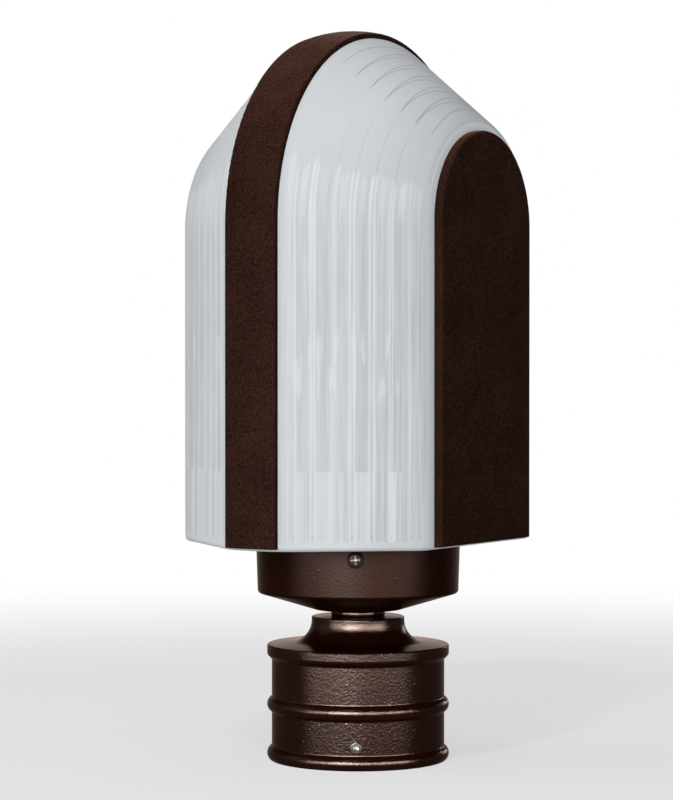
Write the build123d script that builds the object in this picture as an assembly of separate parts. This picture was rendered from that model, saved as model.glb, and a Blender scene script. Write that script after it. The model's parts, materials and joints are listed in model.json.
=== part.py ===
from build123d import *
from math import asin, atan2, cos, radians, sin, sqrt, tan
import os

# Post-top lantern head. Millimetres, +Z up, origin on the axis at the bottom rim of the post fitter.
# The arch of the strap lies in the YZ plane and the two end panels face +X and -X.

# Driving dimensions: post fitter
POST_DIAMETER = 76.2
POST_CLEARANCE = 0.5
POST_DEPTH = 52.0
SLEEVE_WALL = 5.85
SHOULDER_HEIGHT = 7.2
SHOULDER_RISE = 1.0
RIM_HEIGHT = 7.6
RIM_EDGE_ROUND = 0.9
RIM_FOOT_ROUND = 2.0
COVE_RADIUS = 11.2
BOSS_RADIUS = 23.9
BOSS_EDGE = 2.1
BOSS_ROUND = 0.8
CHAMBER_RADIUS = 19.0
CHAMBER_CEILING = 6.0
BEAD_RADIUS = 4.2
BEAD_STANDOUT = 2.4
BEAD_JOINT_ROUND = 1.1
BOTTOM_BEAD_HEIGHT = 3.2
MIDDLE_BEAD_HEIGHT = 28.4
FITTER_SCREW_RADIUS = 3.0
FITTER_SCREW_HEIGHT = 11.6
FITTER_SCREW_SETBACK = 0.3
FITTER_SCREW_PROUD = 0.5
FITTER_SOCKET_FLATS = 3.0
FITTER_SOCKET_DEPTH = 3.0
THREAD_CLEARANCE = 0.1

# Driving dimensions: nipple, nuts and collar
NIPPLE_RADIUS = 5.0
NIPPLE_WALL = 1.5
NIPPLE_CLEARANCE = 0.15
NIPPLE_END = 1.5
LOCKNUT_FLATS = 17.0
LOCKNUT_THICKNESS = 5.0
LOCK_WASHER_RADIUS = 9.0
LOCK_WASHER_THICKNESS = 1.0
COLLAR_RADIUS = 13.9
COLLAR_HEIGHT = 3.5
COLLAR_ROUND = 0.9

# Driving dimensions: shade holder
CUP_TAPER = 0.8
CUP_HEIGHT = 34.2
CUP_DOME_RISE = 9.0
CUP_WALL = 2.2
CUP_FLOOR = 2.4
CUP_CORNER_ROUND = 1.8
CUP_RIM_ROUND = 0.7
CUP_HUB_RADIUS = 22.0
CUP_HUB_ROUND = 5.0
GASKET_LEDGE = 3.0
GASKET_THICKNESS = 2.5
SCREW_AZIMUTHS = (-60.0, 60.0, 180.0)
SHADE_SCREW_DROP = 4.9
SHADE_SCREW_RADIUS = 2.0
SHADE_SCREW_LENGTH = 5.2
SHADE_SCREW_HEAD_RADIUS = 4.1
SHADE_SCREW_HEAD_HEIGHT = 2.8
RECESS_WIDTH = 1.0
RECESS_LENGTH = 4.4
RECESS_DEPTH = 1.5
SCREW_TIP_THICKNESS = 0.9
SCREW_TIP_GAP = 0.15

# Driving dimensions: glass shade and its trim
SHADE_GAP = 1.5
NECK_RADIUS = 49.0
NECK_WALL = 4.5
NECK_CLEARANCE = 1.3
GLASS_WALL = 4.2
GLASS_FLOOR = 4.0
GLASS_BOTTOM_ROUND = 2.4
ARCH_RADIUS = 100.0
ARCH_SPRING = 158.3
GLASS_LENGTH = 142.8
GLASS_END_RADIUS = 54.0
GLASS_CORNER_ROUND = 6.0
CREST_MARGIN = 1.6
CREST_DROP = 2.4
RIB_COUNT = 6
RIB_DEPTH = 1.5
RIB_END_MARGIN = 2.0
RIB_CREST_MARGIN = 8.0
TRIM_LIFT = 1.3
STRAP_WIDTH = 29.0
STRAP_THICKNESS = 2.6
STRAP_ROUND = 0.8
PANEL_INSET = 7.8
PANEL_THICKNESS = 4.4
PANEL_RISE = 2.4
PANEL_ROUND = 1.5

# Driving dimensions: socket, bracket and wiring
SPACER_RADIUS = 10.0
SPACER_THICKNESS = 2.4
BRACKET_WIDTH = 16.0
BRACKET_GAUGE = 1.5
BRACKET_HEIGHT = 14.0
BRACKET_LEG_GAP = 1.6
BRACKET_SCREW_RADIUS = 2.0
BRACKET_SCREW_BITE = 8.0
BRACKET_SCREW_HEAD_RADIUS = 3.4
BRACKET_SCREW_HEAD_HEIGHT = 2.2
SOCKET_RADIUS = 29.0
SOCKET_HEIGHT = 50.0
SOCKET_WALL = 5.0
SOCKET_RECESS = 14.0
SOCKET_FLOOR = 6.0
SOCKET_ROUND = 2.0
SHELL_THICKNESS = 0.9
SHELL_RIM_DROP = 2.0
SHELL_TAB = 5.0
CONTACT_WIDTH = 6.0
CONTACT_THICKNESS = 1.0
CONTACT_BUTTON_RADIUS = 3.0
TERMINAL_OFFSET = 10.5
TERMINAL_RADIUS = 1.6
TERMINAL_HEAD_RADIUS = 3.2
TERMINAL_HEAD_HEIGHT = 2.0
LEAD_RADIUS = 1.1
LEAD_CLEARANCE = 0.25
LEAD_BEND = 3.0
GROUND_HEAD_RADIUS = 3.2
GROUND_HEAD_HEIGHT = 2.4
CONNECTOR_RADIUS = 3.6
CONNECTOR_TIP_RADIUS = 2.6
CONNECTOR_ENTRY = 5.0
FIT_CLEARANCE = 0.05

# Driving dimensions: lamp
LAMP_RADIUS = 30.0
LAMP_LENGTH = 110.0
LAMP_NECK_LENGTH = 12.0
LAMP_GLASS = 1.0
LAMP_GAP = 0.3
CAP_RADIUS = 13.1
CAP_WALL = 0.6
CAP_LENGTH = 24.0
CAP_RINGS = 5
CAP_RING_PITCH = 3.63
CAP_RING_DEPTH = 0.5
CAP_CLEARANCE = 0.3
INSULATOR_RADIUS = 9.0
INSULATOR_HEIGHT = 3.4
EYELET_RADIUS = 4.6
EYELET_HEIGHT = 1.2
STEM_RADIUS = 4.0
STEM_HEIGHT = 34.0
STEM_FLARE = 6.0
FILAMENT_RADIUS = 0.5
FILAMENT_SPAN = 12.0
FILAMENT_RISE = 22.0

# Worked-out radii
BORE_RADIUS = POST_DIAMETER / 2 + POST_CLEARANCE
SLEEVE_RADIUS = BORE_RADIUS + SLEEVE_WALL
RIM_RADIUS = SLEEVE_RADIUS + BEAD_STANDOUT
NIPPLE_BORE = NIPPLE_RADIUS - NIPPLE_WALL
NIPPLE_HOLE = NIPPLE_RADIUS + NIPPLE_CLEARANCE
LOCKNUT_CORNER = LOCKNUT_FLATS / sqrt(3)
CUP_INNER_RADIUS = NECK_RADIUS + NECK_CLEARANCE
CUP_RADIUS = CUP_INNER_RADIUS + CUP_WALL
NECK_BORE = NECK_RADIUS - NECK_WALL
CREST_HALF_WIDTH = STRAP_WIDTH / 2 + CREST_MARGIN
CROWN_RADIUS = (CREST_HALF_WIDTH ** 2 + CREST_DROP ** 2) / (2 * CREST_DROP)
PANEL_RADIUS = GLASS_END_RADIUS - PANEL_INSET
BRACKET_SCREW_PLACE = SOCKET_RADIUS - SOCKET_WALL / 2
BRACKET_REACH = BRACKET_SCREW_PLACE - BRACKET_SCREW_HEAD_RADIUS - BRACKET_LEG_GAP - BRACKET_GAUGE
GROUND_OFFSET = (LOCKNUT_CORNER + BRACKET_REACH) / 2
CONNECTOR_OFFSET = (LOCKNUT_CORNER + CHAMBER_RADIUS) / 2
LEAD_SPREAD = NIPPLE_BORE - LEAD_RADIUS - LEAD_CLEARANCE
SHELL_BORE = CAP_RADIUS + CAP_CLEARANCE
SHELL_RADIUS = SHELL_BORE + SHELL_THICKNESS
CAP_BORE = CAP_RADIUS - CAP_RING_DEPTH - CAP_WALL
LAMP_NECK_RADIUS = CAP_BORE - FIT_CLEARANCE

# Worked-out heights, from the bottom up
SHOULDER_Z = POST_DEPTH + SHOULDER_HEIGHT
SHOULDER_TOP_Z = SHOULDER_Z + SHOULDER_RISE
BOSS_Z = SHOULDER_TOP_Z + COVE_RADIUS
FITTER_TOP_Z = BOSS_Z + BOSS_EDGE
CEILING_Z = FITTER_TOP_Z - CHAMBER_CEILING
LOWER_NUT_Z = CEILING_Z - LOCK_WASHER_THICKNESS - LOCKNUT_THICKNESS
NIPPLE_BOTTOM_Z = LOWER_NUT_Z - NIPPLE_END
CUP_BASE_Z = FITTER_TOP_Z + COLLAR_HEIGHT
CUP_CORNER_Z = CUP_BASE_Z + CUP_DOME_RISE
CUP_RIM_Z = CUP_BASE_Z + CUP_HEIGHT
CUP_FLOOR_Z = CUP_BASE_Z + CUP_FLOOR
GASKET_Z = CUP_CORNER_Z + GASKET_LEDGE
NECK_BOTTOM_Z = GASKET_Z + GASKET_THICKNESS
SHADE_SCREW_Z = CUP_RIM_Z - SHADE_SCREW_DROP
GLASS_BOTTOM_Z = CUP_RIM_Z + SHADE_GAP
TRIM_BOTTOM_Z = GLASS_BOTTOM_Z + TRIM_LIFT
SPRING_Z = GLASS_BOTTOM_Z + ARCH_SPRING
BRACKET_Z = CUP_FLOOR_Z + SPACER_THICKNESS
BRACKET_FLOOR_Z = BRACKET_Z + BRACKET_GAUGE
UPPER_NUT_Z = BRACKET_FLOOR_Z + LOCK_WASHER_THICKNESS
NIPPLE_TOP_Z = UPPER_NUT_Z + LOCKNUT_THICKNESS + NIPPLE_END
SOCKET_Z = BRACKET_Z + BRACKET_HEIGHT
SOCKET_FLOOR_Z = SOCKET_Z + SOCKET_RECESS
SOCKET_BED_Z = SOCKET_FLOOR_Z + SOCKET_FLOOR
SOCKET_TOP_Z = SOCKET_Z + SOCKET_HEIGHT
CONTACT_TOP_Z = SOCKET_BED_Z + 2 * CONTACT_THICKNESS
LAMP_Z = CONTACT_TOP_Z + LAMP_GAP
CAP_Z = LAMP_Z + EYELET_HEIGHT + INSULATOR_HEIGHT
CAP_TOP_Z = CAP_Z + CAP_LENGTH
LAMP_CENTRE_Z = LAMP_Z + LAMP_LENGTH - LAMP_RADIUS


def plate(outline):
    """Closed outline of (radius, height) points as a face in the XZ plane."""
    return Plane.XZ * make_face(Polyline(*outline, close=True))


def turned(face):
    """Solid of revolution about the vertical axis."""
    return revolve(face, Axis.Z)


def ring(inner, outer, bottom, top):
    """Plain ring between two radii and two heights."""
    return Pos(0, 0, bottom) * extrude(Circle(outer) - Circle(inner), top - bottom)


def disc(radius, bottom, top):
    """Plain upright cylinder between two heights."""
    return Pos(0, 0, bottom) * extrude(Circle(radius), top - bottom)


def radial(shape, azimuth, height):
    """Turn a shape that points along +X to an azimuth, at a height."""
    return Pos(0, 0, height) * Rot(0, 0, azimuth) * shape


def radial_rod(radius, start, end):
    """Cylinder along +X from one radius to another."""
    return Pos(start, 0, 0) * Rot(0, 90, 0) * extrude(Circle(radius), end - start)


def hex_nut(flats, bore, bottom, top):
    """Hexagon nut with chamfered corners."""
    corner = flats / sqrt(3)
    prism = extrude(RegularPolygon(corner, 6) - Circle(bore), top - bottom)
    slope = tan(radians(30)) * (corner - flats / 2)
    cone = turned(plate(((0, 0), (flats / 2, 0), (corner, slope), (corner, top - bottom - slope),
                         (flats / 2, top - bottom), (0, top - bottom))))
    return Pos(0, 0, bottom) * (prism & cone)


def tombstone(radius, bottom, spring):
    """Arched outline in the YZ plane: straight sides up to a spring line, half round above."""
    side = Pos(0, (bottom + spring) / 2) * Rectangle(2 * radius, spring - bottom)
    return side + Pos(0, spring) * Circle(radius)


def post_fitter():
    """Turned sleeve with beads, shoulder, cove and boss, hollow for the post and the splices."""
    cove_edge = BOSS_RADIUS + COVE_RADIUS
    rim_foot = SHOULDER_Z - RIM_HEIGHT
    outline = FilletPolyline((0, 0), (SLEEVE_RADIUS, 0), (SLEEVE_RADIUS, rim_foot),
                             (RIM_RADIUS, rim_foot + BEAD_STANDOUT), (RIM_RADIUS, SHOULDER_Z),
                             (cove_edge, SHOULDER_TOP_Z), (cove_edge, BOSS_Z), (BOSS_RADIUS, BOSS_Z),
                             (BOSS_RADIUS, FITTER_TOP_Z), (0, FITTER_TOP_Z), close=True,
                             radius=(0, 0, 0, RIM_FOOT_ROUND, RIM_EDGE_ROUND, 0, 0, 0, BOSS_ROUND, 0))
    body = make_face(outline) - Pos(cove_edge, BOSS_Z) * Circle(COVE_RADIUS)
    for height in (BOTTOM_BEAD_HEIGHT, MIDDLE_BEAD_HEIGHT):
        body += Pos(RIM_RADIUS - BEAD_RADIUS, height) * Circle(BEAD_RADIUS)
    body -= Pos(SLEEVE_RADIUS, -BEAD_RADIUS) * Rectangle(4 * BEAD_RADIUS, 2 * BEAD_RADIUS)
    joints = body.vertices().filter_by(lambda v: abs(v.X - SLEEVE_RADIUS) < 0.01 and v.Y > BOTTOM_BEAD_HEIGHT)
    body = fillet(joints, BEAD_JOINT_ROUND)
    body -= Pos(BORE_RADIUS / 2, POST_DEPTH / 2) * Rectangle(BORE_RADIUS, POST_DEPTH)
    body -= Pos(CHAMBER_RADIUS / 2, CEILING_Z / 2) * Rectangle(CHAMBER_RADIUS, CEILING_Z)
    body -= Pos(NIPPLE_HOLE / 2, FITTER_TOP_Z / 2) * Rectangle(NIPPLE_HOLE, FITTER_TOP_Z)
    fitter = turned(Plane.XZ * body)
    hole = radial_rod(FITTER_SCREW_RADIUS + THREAD_CLEARANCE, CHAMBER_RADIUS,
                      SLEEVE_RADIUS + 2 * BEAD_STANDOUT)
    for azimuth in SCREW_AZIMUTHS:
        fitter -= radial(hole, azimuth, FITTER_SCREW_HEIGHT)
    return fitter


def fitter_screw(azimuth):
    """Socket set screw, backed off so that the post can enter."""
    start = BORE_RADIUS + FITTER_SCREW_SETBACK
    end = SLEEVE_RADIUS + FITTER_SCREW_PROUD
    screw = radial_rod(FITTER_SCREW_RADIUS, start, end)
    screw = chamfer(screw.edges().filter_by(GeomType.CIRCLE), FITTER_SCREW_RADIUS / 8)
    key = extrude(RegularPolygon(FITTER_SOCKET_FLATS / sqrt(3), 6), FITTER_SOCKET_DEPTH)
    screw -= Pos(end - FITTER_SOCKET_DEPTH, 0, 0) * Rot(0, 90, 0) * key
    return radial(screw, azimuth, FITTER_SCREW_HEIGHT)


def lower_lock_washer():
    """Washer under the ceiling of the fitter's chamber."""
    return ring(NIPPLE_HOLE, LOCK_WASHER_RADIUS, CEILING_Z - LOCK_WASHER_THICKNESS, CEILING_Z)


def lower_locknut():
    """Nut that draws the nipple down in the fitter."""
    top = LOWER_NUT_Z + LOCKNUT_THICKNESS
    return hex_nut(LOCKNUT_FLATS, NIPPLE_RADIUS + FIT_CLEARANCE, LOWER_NUT_Z, top)


def upper_lock_washer():
    """Washer on the socket bracket."""
    return ring(NIPPLE_HOLE, LOCK_WASHER_RADIUS, BRACKET_FLOOR_Z, UPPER_NUT_Z)


def upper_locknut():
    """Nut that clamps the bracket and the cup."""
    top = UPPER_NUT_Z + LOCKNUT_THICKNESS
    return hex_nut(LOCKNUT_FLATS, NIPPLE_RADIUS + FIT_CLEARANCE, UPPER_NUT_Z, top)


def threaded_nipple():
    """Hollow rod that ties the stack together and lets the leads through."""
    tube = ring(NIPPLE_BORE, NIPPLE_RADIUS, NIPPLE_BOTTOM_Z, NIPPLE_TOP_Z)
    ends = tube.edges().filter_by(GeomType.CIRCLE).filter_by(lambda e: e.radius > NIPPLE_BORE)
    return chamfer(ends, NIPPLE_WALL / 3)


def neck_collar():
    """Short round neck between the fitter and the cup."""
    collar = ring(NIPPLE_HOLE, COLLAR_RADIUS, FITTER_TOP_Z, CUP_BASE_Z)
    rims = collar.edges().filter_by(GeomType.CIRCLE).filter_by(lambda e: e.radius > NIPPLE_HOLE)
    return fillet(rims, COLLAR_ROUND)


def dome_height(radius):
    """Height of the cup's outer dome above its base at a radius."""
    corner = CUP_RADIUS - CUP_TAPER
    return CUP_DOME_RISE * (radius - CUP_HUB_RADIUS) / (corner - CUP_HUB_RADIUS)


def holder_cup():
    """Spun cup with a domed floor, a seat for the gasket and three tapped holes near its rim."""
    outer = plate(((0, CUP_BASE_Z), (CUP_HUB_RADIUS, CUP_BASE_Z), (CUP_RADIUS - CUP_TAPER, CUP_CORNER_Z),
                   (CUP_RADIUS, CUP_RIM_Z), (0, CUP_RIM_Z)))
    inner = plate(((0, CUP_FLOOR_Z), (CUP_HUB_RADIUS, CUP_FLOOR_Z),
                   (NECK_BORE, CUP_FLOOR_Z + dome_height(NECK_BORE)), (NECK_BORE, GASKET_Z),
                   (CUP_INNER_RADIUS, GASKET_Z), (CUP_INNER_RADIUS, CUP_RIM_Z), (0, CUP_RIM_Z)))
    solid = turned(outer)
    circles = solid.edges().filter_by(GeomType.CIRCLE)
    corner = circles.filter_by(lambda e: abs(e.center().Z - CUP_CORNER_Z) < 0.01)
    solid = fillet(corner, CUP_CORNER_ROUND)
    hub = solid.edges().filter_by(GeomType.CIRCLE).group_by(Axis.Z)[0]
    solid = fillet(hub, CUP_HUB_ROUND)
    cup = solid - turned(inner) - disc(NIPPLE_HOLE, CUP_BASE_Z, CUP_RIM_Z)
    rim = cup.edges().filter_by(GeomType.CIRCLE).group_by(Axis.Z)[-1]
    cup = fillet(rim, CUP_RIM_ROUND)
    hole = radial_rod(SHADE_SCREW_RADIUS + THREAD_CLEARANCE, NECK_RADIUS, CUP_RADIUS + CUP_WALL)
    for azimuth in SCREW_AZIMUTHS:
        cup -= radial(hole, azimuth, SHADE_SCREW_Z)
    return cup


def neck_gasket():
    """Soft ring between the cup's seat and the end of the glass neck."""
    return ring(NECK_BORE, NECK_RADIUS, GASKET_Z, NECK_BOTTOM_Z)


def shade_screw(azimuth):
    """Pan-head screw with a cross recess, bearing on its tip."""
    start = NECK_RADIUS + SCREW_TIP_GAP + SCREW_TIP_THICKNESS
    end = start + SHADE_SCREW_LENGTH
    screw = radial_rod(SHADE_SCREW_RADIUS, start, end)
    head = radial_rod(SHADE_SCREW_HEAD_RADIUS, end, end + SHADE_SCREW_HEAD_HEIGHT)
    crown = head.edges().filter_by(GeomType.CIRCLE).sort_by(Axis.X)[-1]
    screw += fillet(crown, SHADE_SCREW_HEAD_HEIGHT * 0.6)
    slot = Pos(end + SHADE_SCREW_HEAD_HEIGHT - RECESS_DEPTH / 2, 0, 0)
    screw -= slot * Box(RECESS_DEPTH, RECESS_WIDTH, RECESS_LENGTH)
    screw -= slot * Box(RECESS_DEPTH, RECESS_LENGTH, RECESS_WIDTH)
    return radial(screw, azimuth, SHADE_SCREW_Z)


def shade_screw_tip(azimuth):
    """Soft disc on the end of a shade screw."""
    start = NECK_RADIUS + SCREW_TIP_GAP
    return radial(radial_rod(SHADE_SCREW_RADIUS, start, start + SCREW_TIP_THICKNESS), azimuth, SHADE_SCREW_Z)


def crown(lift, half_width):
    """Arc over the crest of the shade seen from above, raised by a lift, between two places along X."""
    edge = ARCH_RADIUS - CROWN_RADIUS + sqrt((CROWN_RADIUS + lift) ** 2 - half_width ** 2)
    return ThreePointArc((-half_width, edge), (0, ARCH_RADIUS + lift), (half_width, edge))


def glass_half_plan():
    """Half outline of the glass seen from above, on the +Y side of the X axis."""
    end = GLASS_LENGTH / 2
    crest = crown(0, CREST_HALF_WIDTH)
    edge = Polyline((-end, 0), (-end, GLASS_END_RADIUS), crest @ 0) + crest
    edge += Polyline(crest @ 1, (end, GLASS_END_RADIUS), (end, 0), (-end, 0))
    plan = make_face(edge)
    corners = plan.vertices().filter_by(lambda v: v.Y > 0.01)
    return fillet(corners, GLASS_CORNER_ROUND)


def hollow_half_plan():
    """Half outline of the hollow: the glass less its wall, with round ribs along the slanted walls."""
    shoulder = Vector(CREST_HALF_WIDTH, ARCH_RADIUS - CREST_DROP)
    slope = atan2(shoulder.Y - GLASS_END_RADIUS, GLASS_LENGTH / 2 - shoulder.X)
    tilt = asin(CREST_HALF_WIDTH / CROWN_RADIUS)
    bisector = (slope + tilt) / 2
    crest = shoulder - Vector(sin(bisector), cos(bisector)) * (GLASS_WALL / cos((slope - tilt) / 2))
    end = Vector(GLASS_LENGTH / 2 - GLASS_WALL,
                 GLASS_END_RADIUS - GLASS_WALL * tan(radians(45) - slope / 2))
    along = (end - crest).normalized()
    inward = Vector(-sin(slope), -cos(slope))
    pitch = ((end - crest).length - RIB_CREST_MARGIN - RIB_END_MARGIN) / RIB_COUNT
    feet = [crest + along * (RIB_CREST_MARGIN + pitch * i) for i in range(RIB_COUNT + 1)]
    top = ARCH_RADIUS - GLASS_WALL
    right = [TangentArc((0, top), crest, tangent=(1, 0)), Line(crest, feet[0])]
    for near, far in zip(feet, feet[1:]):
        right.append(ThreePointArc(near, (near + far) / 2 + inward * RIB_DEPTH, far))
    right += [Line(feet[-1], end), Line(end, (end.X, 0)), Line((end.X, 0), (0, 0))]
    half = make_face(right + [Line((0, 0), (0, top))])
    return half + mirror(half, about=Plane.YZ)


def arched(half_plan, bottom):
    """Plan outline drawn straight up from a height to the spring line and turned over the top."""
    plan = half_plan + mirror(half_plan, about=Plane.XZ)
    walls = Pos(0, 0, bottom) * extrude(plan, SPRING_Z - bottom)
    return walls + Pos(0, 0, SPRING_Z) * revolve(half_plan, Axis.X, 180)


def glass_shade():
    """One pressed shell: arched walls ribbed inside, a flat floor and a round neck."""
    outer = arched(glass_half_plan(), GLASS_BOTTOM_Z)
    foot = outer.edges().group_by(Axis.Z)[0]
    outer = fillet(foot, GLASS_BOTTOM_ROUND)
    glass = outer - arched(hollow_half_plan(), GLASS_BOTTOM_Z + GLASS_FLOOR)
    glass += disc(NECK_RADIUS, NECK_BOTTOM_Z, GLASS_BOTTOM_Z + GLASS_FLOOR)
    return glass - disc(NECK_BORE, NECK_BOTTOM_Z, GLASS_BOTTOM_Z + GLASS_FLOOR)


def centre_strap():
    """Arched strap over the crest of the glass, crowned like it, with rounded outer edges."""
    inner = crown(0, STRAP_WIDTH / 2)
    outer = crown(STRAP_THICKNESS, STRAP_WIDTH / 2)
    band = make_face(inner + outer + Line(inner @ 0, outer @ 0) + Line(inner @ 1, outer @ 1))
    edges = band.vertices().filter_by(lambda v: v.Y > (outer @ 0).Y - 0.01)
    return arched(fillet(edges, STRAP_ROUND), TRIM_BOTTOM_Z)


def end_panel(side):
    """Arched plate on one end of the glass, with a rounded outer edge."""
    outline = tombstone(PANEL_RADIUS, TRIM_BOTTOM_Z, SPRING_Z + PANEL_RISE)
    panel = extrude(Plane.YZ * outline, PANEL_THICKNESS)
    panel = Pos(GLASS_LENGTH / 2, 0, 0) * panel
    face = panel.faces().sort_by(Axis.X)[-1]
    panel = fillet(face.edges(), PANEL_ROUND)
    return panel if side > 0 else Rot(0, 0, 180) * panel


def bracket_spacer():
    """Thick washer that lifts the bracket clear of the cup's dome."""
    return ring(NIPPLE_HOLE, SPACER_RADIUS, CUP_FLOOR_Z, BRACKET_Z)


def socket_bracket():
    """Bent strip: a middle on the nipple, two legs and two feet turned out under the socket."""
    outside = BRACKET_REACH + BRACKET_GAUGE
    half = Polyline((0, BRACKET_Z), (outside, BRACKET_Z), (outside, SOCKET_Z - BRACKET_GAUGE),
                    (SOCKET_RADIUS, SOCKET_Z - BRACKET_GAUGE), (SOCKET_RADIUS, SOCKET_Z),
                    (BRACKET_REACH, SOCKET_Z), (BRACKET_REACH, BRACKET_FLOOR_Z), (0, BRACKET_FLOOR_Z),
                    close=True)
    strip = extrude(Plane.XZ * make_face(half), BRACKET_WIDTH / 2, both=True)
    bracket = strip + Rot(0, 0, 180) * strip
    bracket -= disc(NIPPLE_HOLE, BRACKET_Z, BRACKET_FLOOR_Z)
    bracket -= Pos(-GROUND_OFFSET, 0, 0) * disc(TERMINAL_RADIUS + FIT_CLEARANCE, BRACKET_Z, BRACKET_FLOOR_Z)
    for x in (-BRACKET_SCREW_PLACE, BRACKET_SCREW_PLACE):
        bracket -= Pos(x, 0, 0) * disc(BRACKET_SCREW_RADIUS + THREAD_CLEARANCE, BRACKET_FLOOR_Z, SOCKET_Z)
    return bracket


def bracket_screws():
    """Two screws from under the bracket's feet into the socket."""
    foot = SOCKET_Z - BRACKET_GAUGE
    screw = disc(BRACKET_SCREW_RADIUS, foot, SOCKET_Z + BRACKET_SCREW_BITE)
    head = disc(BRACKET_SCREW_HEAD_RADIUS, foot - BRACKET_SCREW_HEAD_HEIGHT, foot)
    screw += fillet(head.edges().group_by(Axis.Z)[0], BRACKET_SCREW_HEAD_HEIGHT / 2)
    return [Pos(x, 0, 0) * screw for x in (-BRACKET_SCREW_PLACE, BRACKET_SCREW_PLACE)]


def socket_body():
    """Porcelain socket with a well for the screw shell and a recess for the terminals."""
    body = disc(SOCKET_RADIUS, SOCKET_Z, SOCKET_TOP_Z)
    body = fillet(body.edges().group_by(Axis.Z)[-1], SOCKET_ROUND)
    body -= disc(SOCKET_RADIUS - SOCKET_WALL, SOCKET_Z, SOCKET_FLOOR_Z)
    body -= disc(SHELL_RADIUS + FIT_CLEARANCE, SOCKET_BED_Z, SOCKET_TOP_Z)
    for y in (-TERMINAL_OFFSET, TERMINAL_OFFSET):
        body -= Pos(0, y, 0) * disc(TERMINAL_RADIUS + FIT_CLEARANCE, SOCKET_FLOOR_Z, SOCKET_BED_Z)
    for x in (-BRACKET_SCREW_PLACE, BRACKET_SCREW_PLACE):
        body -= Pos(x, 0, 0) * disc(BRACKET_SCREW_RADIUS + FIT_CLEARANCE, SOCKET_Z,
                                    SOCKET_Z + BRACKET_SCREW_BITE + FIT_CLEARANCE)
    return body


def socket_shell():
    """Brass shell in the socket's well, with a tab over the neutral terminal."""
    shell = ring(SHELL_BORE, SHELL_RADIUS, SOCKET_BED_Z, SOCKET_TOP_Z - SHELL_RIM_DROP)
    tab = Pos(0, -SHELL_RADIUS + SHELL_TAB / 2, 0) * Rectangle(CONTACT_WIDTH, SHELL_TAB)
    tab = Pos(0, 0, SOCKET_BED_Z) * extrude(tab & Circle(SHELL_RADIUS), CONTACT_THICKNESS)
    return shell + tab


def centre_contact():
    """Brass strip from the hot terminal to a button under the lamp."""
    far = SHELL_BORE - SHELL_THICKNESS
    near = CONTACT_BUTTON_RADIUS
    strip = Pos(0, (far - near) / 2) * Rectangle(CONTACT_WIDTH, far + near) & Circle(far)
    contact = Pos(0, 0, SOCKET_BED_Z) * extrude(strip, CONTACT_THICKNESS)
    return contact + disc(CONTACT_BUTTON_RADIUS, SOCKET_BED_Z, CONTACT_TOP_Z)


def terminal_screws():
    """Two brass terminals through the socket's floor."""
    screw = disc(TERMINAL_RADIUS, SOCKET_FLOOR_Z, SOCKET_BED_Z)
    screw += disc(TERMINAL_HEAD_RADIUS, SOCKET_FLOOR_Z - TERMINAL_HEAD_HEIGHT, SOCKET_FLOOR_Z)
    return [Pos(0, y, 0) * screw for y in (-TERMINAL_OFFSET, TERMINAL_OFFSET)]


def ground_screw():
    """Screw in the bracket that takes the ground lead."""
    screw = disc(TERMINAL_RADIUS, BRACKET_Z, BRACKET_FLOOR_Z)
    screw += disc(GROUND_HEAD_RADIUS, BRACKET_FLOOR_Z, BRACKET_FLOOR_Z + GROUND_HEAD_HEIGHT)
    return Pos(-GROUND_OFFSET, 0, 0) * screw


def lower_bend():
    """Run from a connector, round under the end of the nipple and up to its mouth, at +X."""
    end = NIPPLE_BOTTOM_Z + CONNECTOR_ENTRY
    drop = (CONNECTOR_OFFSET - LEAD_SPREAD) / 2
    turn = NIPPLE_BOTTOM_Z
    middle = (LEAD_SPREAD + CONNECTOR_OFFSET) / 2
    return [Line((CONNECTOR_OFFSET, 0, end), (CONNECTOR_OFFSET, 0, turn)),
            ThreePointArc((CONNECTOR_OFFSET, 0, turn), (middle, 0, turn - drop), (LEAD_SPREAD, 0, turn))]


def lead(path):
    """Insulated wire along a path that starts in a connector and runs up the nipple, at +X."""
    wire = Wire(path)
    start = Plane(wire @ 0, z_dir=wire % 0)
    return sweep(start * Circle(LEAD_RADIUS), path=wire)


def power_lead(azimuth):
    """Lead from a connector up the nipple to a terminal of the socket."""
    bend_start = NIPPLE_TOP_Z + LEAD_RADIUS
    bend_end = bend_start + TERMINAL_OFFSET - LEAD_SPREAD
    rise = FilletPolyline((LEAD_SPREAD, 0, NIPPLE_BOTTOM_Z), (LEAD_SPREAD, 0, bend_start),
                          (TERMINAL_OFFSET, 0, bend_end),
                          (TERMINAL_OFFSET, 0, SOCKET_FLOOR_Z - TERMINAL_HEAD_HEIGHT), radius=LEAD_BEND)
    return Rot(0, 0, azimuth) * lead(lower_bend() + rise.edges())


def ground_lead():
    """Lead from a connector up the nipple and over to the ground screw."""
    top = NIPPLE_TOP_Z + LEAD_RADIUS
    middle = (LEAD_SPREAD + GROUND_OFFSET) / 2
    rise = (GROUND_OFFSET - LEAD_SPREAD) / 2
    path = lower_bend()
    path += [Line((LEAD_SPREAD, 0, NIPPLE_BOTTOM_Z), (LEAD_SPREAD, 0, top)),
             ThreePointArc((LEAD_SPREAD, 0, top), (middle, 0, top + rise), (GROUND_OFFSET, 0, top)),
             Line((GROUND_OFFSET, 0, top), (GROUND_OFFSET, 0, BRACKET_FLOOR_Z + GROUND_HEAD_HEIGHT))]
    return Rot(0, 0, 180) * lead(path)


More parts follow.
